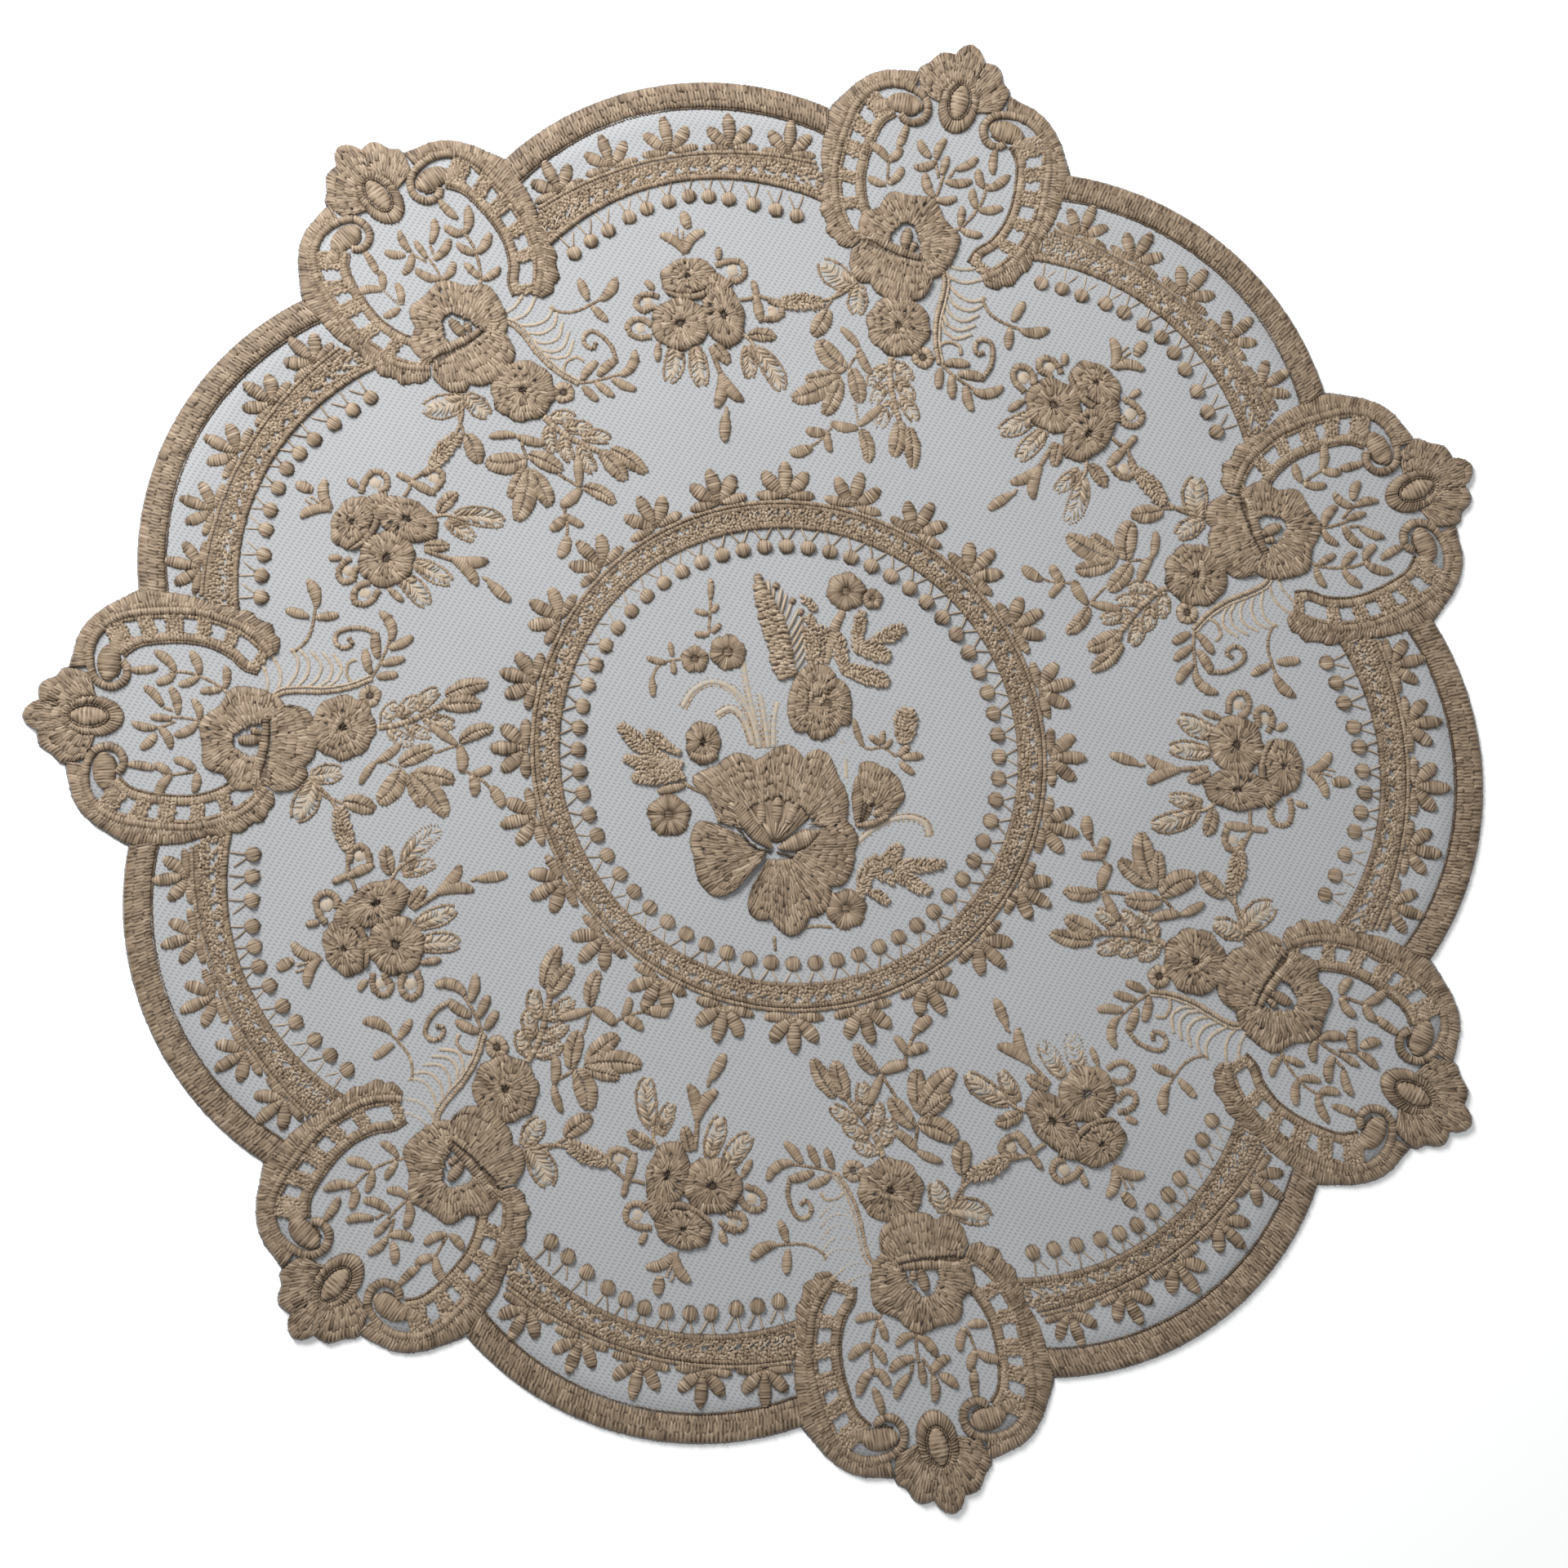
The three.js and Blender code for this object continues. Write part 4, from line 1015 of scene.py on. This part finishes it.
# Rolled edges, each a route and its width
BUD_LIPS = (
    (((14.8, -20.8), (19.4, -20), (23.2, -18.2)), 2.4),
    (((17.8, -15.4), (19.4, -13.4), (21.2, -11.8)), 2.4),
    (((19.2, -18), (21, -17), (23.6, -16)), 2.6))
RUFFLE_LIPS = (
    (((4.2, 11.4), (5, 14), (7.4, 15), (9.8, 14.4)), 2.1),
    (((11.6, 13.4), (12.6, 10.8), (11.2, 8.4)), 2.2),
    (((9.4, 7.4), (6.8, 7), (5, 8.8)), 2.2), (((6.6, 10), (7.6, 12.2), (9.8, 12)), 1.9))
# Routes of the painted shadow lines
BUD_SHADOW_LINES = (
    ((16.4, -7.4), (17.8, -11.4), (17.8, -15), (16.2, -19.8)),
    ((19, -15.6), (20.8, -13.8), (22, -12.4)))
RUFFLE_SHADOW_LINES = (
    ((3.2, 14), (5.6, 16.4), (8.6, 16.2), (10.6, 15.2)), ((13.6, 13), (14.2, 10), (12.2, 7.2)),
    ((9.6, 5.8), (6.4, 5.4), (3.6, 7.8)))
THROAT_SHADOW_LINES = (
    ((-16.6, -18.2), (-14.8, -21.8), (-11.2, -25.9), (-6.8, -27.4)),
    ((-5.8, -27.4), (-1.2, -28.5), (3, -27.2), (6.4, -22.6)))
# Stamens in the throat: foot, tip, width. Pale threads run from THROAT_TOPS towards THROAT_FOOT.
STAMENS = (((-9.5, -20.6), (-8.9, -14.6), 3.3), ((-5.5, -19.8), (-4.9, -13.2), 3.8),
           ((-3, -20.8), (0.2, -14.6), 3.2))
THROAT_TOPS = np.array([
    (-9.2, -19.2), (-8, -20.4), (-5.4, -18.4), (-4, -19.2), (-2.6, -19.6), (-0.8, -19.4)])
THROAT_FOOT = (-6.2, -25)


def bud():
    """Bud beside the large flower: a side petal stitched across, fans behind it and rolled lips."""
    parts = [figure((16, -19.6), (19, -14), 5, "ball", top=LOW, tone=0.3)] + petals(BUD, rough=0.6)
    parts.append(satin(curve([(15, -7.8), (13.8, -12.4), (13.5, -15.2), (14.4, -20.8)]),
                       curve([(15.8, -7.8), (17, -10.4), (17.5, -13.6), (15.8, -20.4)]), top=CORD))
    # Lines of painted shadow between the bud's petals
    return parts + lips(BUD_LIPS, top=ROSE, tone=0.54) + shadow_lines(BUD_SHADOW_LINES)


def peony_throat():
    """Two rolled petals that cross below three stamens, with painted shadow lines and pale threads."""
    parts = fan([(-7, -25), (-5.8, -25.6), (-4.6, -25)],
                [(-15, -16), (-11.4, -13), (-5.2, -11.8), (0.8, -13.2), (5, -18)],
                1, top=1.6, tone=0.46, slits=0.2)
    parts += [
        satin(curve([(-17, -16.4), (-15.4, -20.4), (-11.6, -24.8), (-7.2, -26.8)]),
              curve([(-14.8, -13.6), (-11.6, -17.2), (-8.8, -21.4), (-6.4, -25.8)]), 0.7, ROSE + 0.15),
        satin(curve([(-5.6, -26.2), (-2.4, -23.2), (1.4, -21.2), (5.9, -21.6)]),
              curve([(-5, -26.9), (-1.4, -27.7), (2.6, -26.4), (6.1, -22.2)]), 0.75, ROSE + 0.2)]
    for foot, tip, wide in STAMENS:
        parts.append(figure(foot, tip, wide, "ball", top=ROSE + 0.1, tone=0.58))
    parts.append(threads(THROAT_TOPS, (THROAT_TOPS - THROAT_FOOT) * 0.2 + THROAT_FOOT, 0.8, ROSE - 0.1,
                         tone=0.62, short=True))
    parts += shadow_lines(THROAT_SHADOW_LINES) + shadow_lines([[(-14, -14.6), (-11, -17.8), (-8, -22)]], 0.5)
    parts += shadow_lines([[(-7, -17.4), (-7, -20.4)], [(-3, -17), (-3.4, -20.4)]], 0.6)
    return parts + shadow_lines([[(-1.2, -29), (0.8, -31.6), (5, -34.6)]], 0.5)


# Petals of the ruffled flower: inner line, outer line, top
RUFFLES = (
    ([(3.8, 13.7), (4.1, 10.9), (3.5, 8.3)],
     [(0.3, 17.8), (-1.4, 13.8), (-2.1, 8.9), (-1.2, 4.8)], 1.95),
    ([(3.3, 8.3), (4.7, 7.2), (6.2, 7.7)],
     [(-1.6, 5.6), (-0.1, 3.2), (2.7, 3), (4.1, 1.3), (7, 0.8)], 2.0),
    ([(6.2, 7.7), (8.3, 8.3), (10.3, 9.3)],
     [(6.4, 0.6), (10.2, 2.3), (11.9, 4.6), (14.7, 5.1), (15.2, 9)], 2.05),
    ([(9.8, 10.1), (9.3, 11.4), (8.7, 12.4)], [(15, 8), (15.2, 11.7), (14.3, 14.5), (12, 17)], 1.95),
    ([(4.2, 13.7), (5.1, 15.5), (6.2, 16.3)],
     [(0.1, 16.8), (1.3, 19.3), (4.1, 21.4), (6.4, 21.2)], 2.0),
    ([(6, 16), (7.2, 15.5), (8.5, 15.5)], [(5.4, 21), (7.5, 21.7), (9.5, 21), (11.4, 18.4)], 2.05),
    ([(4.4, 11), (6.4, 12.6), (8.8, 13)], [(4, 16.4), (6.4, 17.4), (8, 17), (9.4, 16)], 2.1),
    ([(8.3, 13.9), (10.4, 14.3), (13.1, 12.9)],
     [(8.7, 16.4), (10.9, 18), (13.6, 16.4), (14.9, 13.9)], 2.2),
    ([(3.6, 9.4), (6.8, 9.4), (11, 10)], [(2.2, 7.4), (4.4, 5.2), (8.4, 5.8), (12.6, 8)], 2.2))


def ruffled_flower():
    """Round flower of crumpled petals: fans of stitches, rolled lips, and painted shadow lines between
    them.
    """
    parts = [figure((6.4, 4), (6.4, 18), 13, "ball", top=FLAT, tone=0.45)]
    parts += petals(RUFFLES, rough=0.6)
    parts += lips(RUFFLE_LIPS, top=ROSE + 0.1, ragged=0.25, tone=0.54, uneven=0.12)
    parts += shadow_lines(RUFFLE_SHADOW_LINES) + shadow_lines([[(6.2, 11.6), (7.4, 13.4), (10, 13.2)]], 0.5)
    return parts + shadow_lines([[(8, 10.4), (9.4, 9.8), (10.2, 8.6)]], 0.6)


def fern():
    """Tall leaf beside the round flower: fat stitches from the rib to the left edge, open pale ones
    with knots at their tips on its right. Beside it, the flower's thick stem and small leaves."""
    rib, left, right = (evenly(curve(line), 60) for line in (FERN_RIB, FERN_LEFT, FERN_RIGHT))
    share = np.linspace(0, 1, 60)
    where = np.linspace(0.16, 0.97, 11) + random.uniform(-0.015, 0.015, 11)
    pale = threads(at(rib, share, where), at(right, share, where - 0.14), 1.0, FIGURE - 0.1,
                   tone=0.74, uneven=0.08, short=True)
    parts = [satin(rib, left, lean=-0.6, top=FLAT, tone=0.48), pale]
    parts.append(granite(left, rib, gap=1.0, long=2.4, wide=1.15, top=CORD - 0.15, tone=0.56,
                         lean=(0.1, 0.6), slant=-1))
    parts += [column(rib, 1.2, pitch=0.9, lean=0.5),
              column(right[25:], 0.9, pitch=1.0, top=FLAT, tone=0.45, ragged=0.25),
              figure((-8.2, 41.8), (-8, 44.8), 2.9, "ball", top=CORD)]
    parts += lips([(((13.6, 35), (11.6, 31.4), (10, 27), (8.6, 21)), 3.8)], tone=0.55)
    parts.append(granite(curve([(6.8, 31.4), (5, 27), (4.4, 21)]),
                         curve([(9.8, 30), (8.6, 26), (7.8, 21)]),
                         long=1.6, wide=0.9, top=FIGURE, tone=0.52))
    for x, y, size in FERN_KNOTS:
        parts.append(figure((x - 0.8, y - 0.9), (x + 0.8, y + 0.9), size / 1.4, "ball", tone=0.42))
    return parts + leaves(braid_leaf, FERN_LEAVES)


def centre_bouquet():
    """Large flower with its bud, ruffled flower, fern, small flowers, tendrils and leaves."""
    parts = leaves(braid_leaf, BOUQUET_BRAID) + fern()
    for points in BOUQUET_TENDRILS:
        parts += tendril(points)
    parts += [cord(points, top=FLAT) for points in BOUQUET_STEMS]
    parts += bud() + petals(PEONY_BACK, feet=0.8) + petals(PEONY_FRONT) + peony_throat()
    parts += ruffled_flower()
    for x, y, wide, lobes in HOLED:
        parts += ring_flower((x, y), wide, lobes)
    parts += rosette((-23.5, 0.6), 10, 12.4, 7, 0.1)
    parts.append(cord([(-27, -2.4), (-23.6, -3.4), (-20, -2.4)], 2.6, top=ROSE, lean=0))
    # Line of painted shadow above the lip
    parts += shadow_lines([[(-27.2, -0.8), (-24, -1.6), (-20, -1)]])
    return leaves(solid_leaf, BOUQUET_SOLID) + parts


# Net ground: points round it, rings of points, height of its waves, and the right half of its
# edge at a corner, from the arc up to the tip
NET_TURNS, NET_RINGS, NET_WAVE = 336, 17, 0.09
CORNER_EDGE = (
    (33, 165.8), (30.3, 171.2), (26.9, 176.4), (22.4, 180.4), (16.6, 182.4), (11.6, 183.6),
    (9.6, 186.6), (7.8, 189.2), (4.2, 190.2), (0.4, 193.8))


def mat_edge():
    """Outline of the net as laid, a little inside the stitched edge of arcs and medallions."""
    corner = np.concatenate([CORNER_EDGE, hand(CORNER_EDGE[-2::-1], -1)])
    side = arc(ARC_CENTRE, ARC_OUTER - 0.9, 40.6, 40)[::-1]
    parts = []
    for k in range(SCALLOPS):
        parts += [turned(corner, k), turned(side, k + 0.5)]
    return lay(np.concatenate(parts))


def net_ground():
    """Thin closed sheet and its area: rings shrink from the outline to the middle, and the height
    waves by three slow sines of x and y, as laid net does."""
    edge = mat_edge()
    angle = np.unwrap(np.arctan2(edge[:, 1], edge[:, 0]))
    radius = np.hypot(edge[:, 0], edge[:, 1])
    order = np.argsort(angle)
    turn = angle[0] + np.arange(NET_TURNS) * 2 * np.pi / NET_TURNS
    reach = np.interp(turn, angle[order], radius[order], period=2 * np.pi)
    share = np.linspace(0.01, 1, NET_RINGS)[:, None]
    x, y = (share * reach * f(turn) for f in (np.cos, np.sin))
    wave = NET_WAVE * (np.sin(x / 9 + 0.4 * np.sin(y / 14)) + np.sin(y / 11 + x / 30)
                       + np.sin((x + y) / 17 + 1.3))
    flat = np.concatenate([np.column_stack([x.ravel(), y.ravel()]), [[0.0, 0.0]]])
    height = np.concatenate([wave.ravel(), [0.0]])
    count = len(flat)
    points = np.concatenate([np.column_stack([flat, height + level])
                             for level in (NET_OVER, NET_UNDER)])
    r, c = np.meshgrid(np.arange(NET_RINGS - 1), np.arange(NET_TURNS), indexing="ij")
    here, beside = r * NET_TURNS + c, r * NET_TURNS + (c + 1) % NET_TURNS
    over = np.stack([here, here + NET_TURNS, beside + NET_TURNS, beside], -1).reshape(-1, 4)
    c = np.arange(NET_TURNS)
    rim = (NET_RINGS - 1) * NET_TURNS + c
    rim_ahead = (NET_RINGS - 1) * NET_TURNS + (c + 1) % NET_TURNS
    side = np.column_stack([rim, rim + count, rim_ahead + count, rim_ahead])
    hub = np.column_stack([c, (c + 1) % NET_TURNS, np.full(NET_TURNS, count - 1)])
    quads = np.concatenate([over, over[:, ::-1] + count, side])
    triangles = np.concatenate([hub, hub[:, ::-1] + count])
    mesh = bpy.data.meshes.new("net_ground")
    corners = np.concatenate([quads.ravel(), triangles.ravel()])
    starts = np.concatenate([np.arange(len(quads)) * 4,
                             len(quads) * 4 + np.arange(len(triangles)) * 3])
    fill_mesh(mesh, points * MM, corners, starts)
    area = 0.5 * np.sum(reach * np.roll(reach, -1)) * math.sin(2 * np.pi / NET_TURNS) * MM * MM
    return mesh, area


def fill_mesh(mesh, points, corners, starts):
    """Smooth-shaded faces from points, the point at each corner, and each face's first corner."""
    mesh.vertices.add(len(points))
    mesh.vertices.foreach_set("co", points.astype(np.float32).ravel())
    mesh.loops.add(len(corners))
    mesh.loops.foreach_set("vertex_index", corners.astype(np.int32))
    mesh.polygons.add(len(starts))
    mesh.polygons.foreach_set("loop_start", starts.astype(np.int32))
    mesh.update(calc_edges=True)
    mesh.validate()
    mesh.polygons.foreach_set("use_smooth", np.ones(len(mesh.polygons), bool))


def stitched_mesh(name, patch):
    """Mesh of a patch, its thread coordinates as a UV layer and its tones as an attribute."""
    mesh = bpy.data.meshes.new(name)
    corners = patch.faces.ravel()
    fill_mesh(mesh, patch.points * MM, corners, np.arange(len(patch.faces)) * 4)
    layer = mesh.uv_layers.new(name="thread")
    layer.data.foreach_set("uv", patch.thread[corners].astype(np.float32).ravel())
    tone = mesh.attributes.new("tone", "FLOAT", "POINT")
    tone.data.foreach_set("value", patch.tone.astype(np.float32))
    return mesh


# Materials

# Colour of the thread from its darkest tone to its palest
THREAD_COLOURS = [
    (0.0, (0.035, 0.021, 0.011)), (0.25, (0.112, 0.074, 0.043)), (0.5, (0.242, 0.176, 0.115)),
    (0.72, (0.372, 0.289, 0.207)), (0.86, (0.33, 0.277, 0.213)), (1.0, (0.27, 0.253, 0.223))]


class Nodes:
    """A material's nodes, made and linked by short calls."""

    def __init__(self, name):
        self.material = bpy.data.materials.new(name)
        self.material.use_nodes = True
        self.tree = self.material.node_tree
        self.shader = self.tree.nodes["Principled BSDF"]

    def add(self, kind, inputs=None, **settings):
        """New node with its settings; each input is a value or the socket that feeds it."""
        node = self.tree.nodes.new("ShaderNode" + kind)
        for key, value in settings.items():
            setattr(node, key, value)
        for key, value in (inputs or {}).items():
            if isinstance(value, bpy.types.NodeSocket):
                self.tree.links.new(value, node.inputs[key])
            else:
                node.inputs[key].default_value = value
        return node

    def set(self, **values):
        """The shader's inputs by name, each a value or the socket that feeds it."""
        for key, value in values.items():
            socket = self.shader.inputs[key.replace("_", " ")]
            if isinstance(value, bpy.types.NodeSocket):
                self.tree.links.new(value, socket)
            else:
                socket.default_value = value


def ramp(nodes, value, stops):
    """Colour that changes along the stops, each a place from 0 to 1 and a colour."""
    node = nodes.add("ValToRGB", {"Fac": value})
    while len(node.color_ramp.elements) < len(stops):
        node.color_ramp.elements.new(0.5)
    for element, (place, colour) in zip(node.color_ramp.elements, stops):
        element.position = place
        element.color = (*colour, 1)
    return node.outputs["Color"]


def thread_material():
    """Taupe embroidery thread: tone by stitch, carrying the stitches' painted shade and highlights,
    faint fibre streaks and a slanting twist.
    """
    nodes = Nodes("embroidery_thread")
    tone = nodes.add("Attribute", attribute_name="tone").outputs["Fac"]
    place = nodes.add("TexCoord").outputs["Object"]
    thread = nodes.add("UVMap", uv_map="thread").outputs["UV"]
    stretched = nodes.add("Mapping", {"Vector": thread, "Scale": (0.6, 9.0, 1.0)}).outputs["Vector"]
    fibre = nodes.add("TexNoise", {"Vector": stretched, "Scale": 1.0, "Detail": 2.0}).outputs["Fac"]
    patchy = nodes.add("TexNoise", {"Vector": place, "Scale": 300.0, "Detail": 3.0}).outputs["Fac"]
    shade = nodes.add("Math", {0: fibre, 1: 0.35, 2: tone}, operation="MULTIPLY_ADD").outputs[0]
    shade = nodes.add("Math", {0: patchy, 1: 0.35, 2: shade}, operation="MULTIPLY_ADD").outputs[0]
    shade = nodes.add("Math", {0: shade, 1: 0.35}, operation="SUBTRACT").outputs[0]
    colour = ramp(nodes, shade, THREAD_COLOURS)
    twist = nodes.add("TexWave", {
        "Vector": nodes.add("Mapping", {"Vector": thread, "Rotation": (0, 0, 0.6),
                                        "Scale": (2.2, 1.1, 1)}).outputs["Vector"],
        "Scale": 0.6, "Distortion": 1.2, "Detail": 1.0}, wave_profile="SIN").outputs["Fac"]
    relief = nodes.add("Math", {0: twist, 1: 0.5, 2: fibre}, operation="MULTIPLY_ADD").outputs[0]
    bump = nodes.add("Bump", {"Height": relief, "Strength": 0.35, "Distance": 0.00012})
    nodes.set(Base_Color=colour, Roughness=0.58, Normal=bump.outputs["Normal"])
    nodes.set(Sheen_Weight=0.2, Sheen_Roughness=0.4, Specular_IOR_Level=0.35)
    return nodes.material


# How often the net's threads repeat, in cycles per metre of x and y, in three directions
NET_RHYTHMS = ((619, -357), (224, 1155), (843, 798))


def net_material():
    """Fine white tulle: three rhythms of threads added up, sheer where they leave holes."""
    nodes = Nodes("tulle_net")
    place = nodes.add("TexCoord").outputs["Object"]
    slow = nodes.add("TexNoise", {"Vector": place, "Scale": 40.0, "Detail": 2.0})
    pulled = nodes.add("VectorMath", {0: slow.outputs["Color"], 1: (0.0009, 0.0009, 0), 2: place},
                       operation="MULTIPLY_ADD").outputs[0]
    total = 0.0
    for across, along in NET_RHYTHMS:
        turns = (2 * math.pi * across, 2 * math.pi * along, 0)
        phase = nodes.add("VectorMath", {0: pulled, 1: turns}, operation="DOT_PRODUCT")
        wave = nodes.add("Math", {0: phase.outputs["Value"]}, operation="COSINE").outputs[0]
        total = nodes.add("Math", {0: wave, 1: total}, operation="ADD").outputs[0]
    net = nodes.add("MapRange", {"Value": total, "From Min": 2.6, "From Max": -0.6}).outputs["Result"]
    light = nodes.add("Math", {0: slow.outputs["Fac"], 1: 0.5, 2: net}, operation="MULTIPLY_ADD")
    light = nodes.add("Math", {0: light.outputs[0], 1: 0.66}, operation="MULTIPLY").outputs[0]
    colour = ramp(nodes, light, [(0.0, (0.248, 0.254, 0.261)), (1.0, (0.326, 0.331, 0.337))])
    solid = nodes.add("MapRange", {"Value": net, "To Min": 0.82, "To Max": 1.0}).outputs["Result"]
    bump = nodes.add("Bump", {"Height": net, "Strength": 0.25, "Distance": 0.0001})
    nodes.set(Base_Color=colour, Alpha=solid, Roughness=0.8, Normal=bump.outputs["Normal"])
    nodes.set(Specular_IOR_Level=0.2)
    return nodes.material


THREAD = thread_material()
NET = net_material()


def placed(name, data):
    """New object of the scene, with its mesh, lamp or camera."""
    made = bpy.data.objects.new(name, data)
    bpy.context.scene.collection.objects.link(made)
    return made


def piece(name, mesh, material):
    """Object of the mesh, which stands for the CAD mat and moves with its body."""
    made = placed(name, mesh)
    made.data.materials.append(material)
    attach(made, "root")
    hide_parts("lace_mat")
    return made


def stitched(name, parts):
    """Piece of embroidery from its parts."""
    return piece(name, stitched_mesh(name, joined(parts)), THREAD)


def on_every(parts, offset=0.0):
    """One motif on all seven spokes, each copy laid where its spoke lies."""
    motif = joined(parts)
    return [motif.moved(lambda q, k=k: lay(turned(q, k + offset))) for k in range(SCALLOPS)]


def laid(parts):
    """Parts in the mat's own x and y, each laid."""
    return [p.moved(lay) for p in parts]


net_mesh, net_area = net_ground()
net = piece("net_ground", net_mesh, NET)
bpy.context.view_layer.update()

stitched("border", on_every(arc_border(), 0.5))
stitched("arc_palmettes", on_every(arc_palmettes(), 0.5))
stitched("lattice_bands", on_every(arc_band(), 0.5))
stitched("arc_drops", on_every(arc_drops(), 0.5))
stitched("arc_sprays", on_every(arc_spray(), 0.5))
stitched("medallion_frames", on_every(medallion_ruffle(1) + medallion_ruffle(-1)
                                      + medallion_crown()))
stitched("medallion_ladders", on_every(medallion_ladder(1) + medallion_ladder(-1)))
stitched("corner_roses", on_every(corner_rose() + small_rose() + feather()))
stitched("medallion_sprays", on_every(medallion_sprays()))
stitched("centre_ring", laid(ring_band() + around_ring(ring_palmette, *RING_PALMETTES)
                             + around_ring(ring_drop, *RING_DROPS)))
stitched("centre_bouquet", laid(centre_bouquet()))


# Table, light and camera, in metres

TABLE_REACH = 3.0
# Camera: place, turn in radians, focal length and sensor width in mm
CAMERA_PLACE, CAMERA_TURN = (-0.03243, -0.08323, 0.61659), (0.1186, -0.0471, -0.0064)
CAMERA_LENS, CAMERA_SENSOR = 55.9, 36.0
# Lamps: name, place, what they point at, width, watts
LAMPS = (("window", (-0.33, 0.5, 0.5), (0, 0.02, 0), 0.32, 10.0),
         ("fill", (0.5, -0.6, 1.1), (0, 0, 0), 1.2, 4))
SKY_COLOUR, SKY_STRENGTH = (0.95, 0.97, 1, 1), 0.42


def table():
    """Plain pale square at height 0."""
    mesh = bpy.data.meshes.new("table_top")
    r = TABLE_REACH
    mesh.from_pydata([(-r, -r, 0), (r, -r, 0), (r, r, 0), (-r, r, 0)], [], [(0, 1, 2, 3)])
    made = placed("table_top", mesh)
    nodes = Nodes("pale_table")
    nodes.set(Base_Color=(0.9, 0.9, 0.89, 1), Roughness=0.9, Specular_IOR_Level=0.1)
    made.data.materials.append(nodes.material)


def lamp(name, place, target, size, power):
    """Square soft light that points at target."""
    light = bpy.data.lights.new(name, "AREA")
    light.size, light.energy = size, power
    made = placed(name, light)
    made.location = place
    aim = Vector(target) - Vector(place)
    made.rotation_euler = aim.to_track_quat("-Z", "Y").to_euler()


def camera():
    """Nearly straight above, leaning to the mat's lower left as the photographer stood."""
    view = bpy.data.cameras.new("camera")
    view.lens, view.sensor_width = CAMERA_LENS, CAMERA_SENSOR
    made = placed("camera", view)
    made.location, made.rotation_euler = CAMERA_PLACE, CAMERA_TURN
    bpy.context.scene.camera = made


table()
camera()
for row in LAMPS:
    lamp(*row)
world = bpy.context.scene.world or bpy.data.worlds.new("studio")
bpy.context.scene.world = world
world.use_nodes = True
sky = world.node_tree.nodes["Background"].inputs
sky["Color"].default_value, sky["Strength"].default_value = SKY_COLOUR, SKY_STRENGTH
bpy.context.scene.view_settings.view_transform = "Standard"
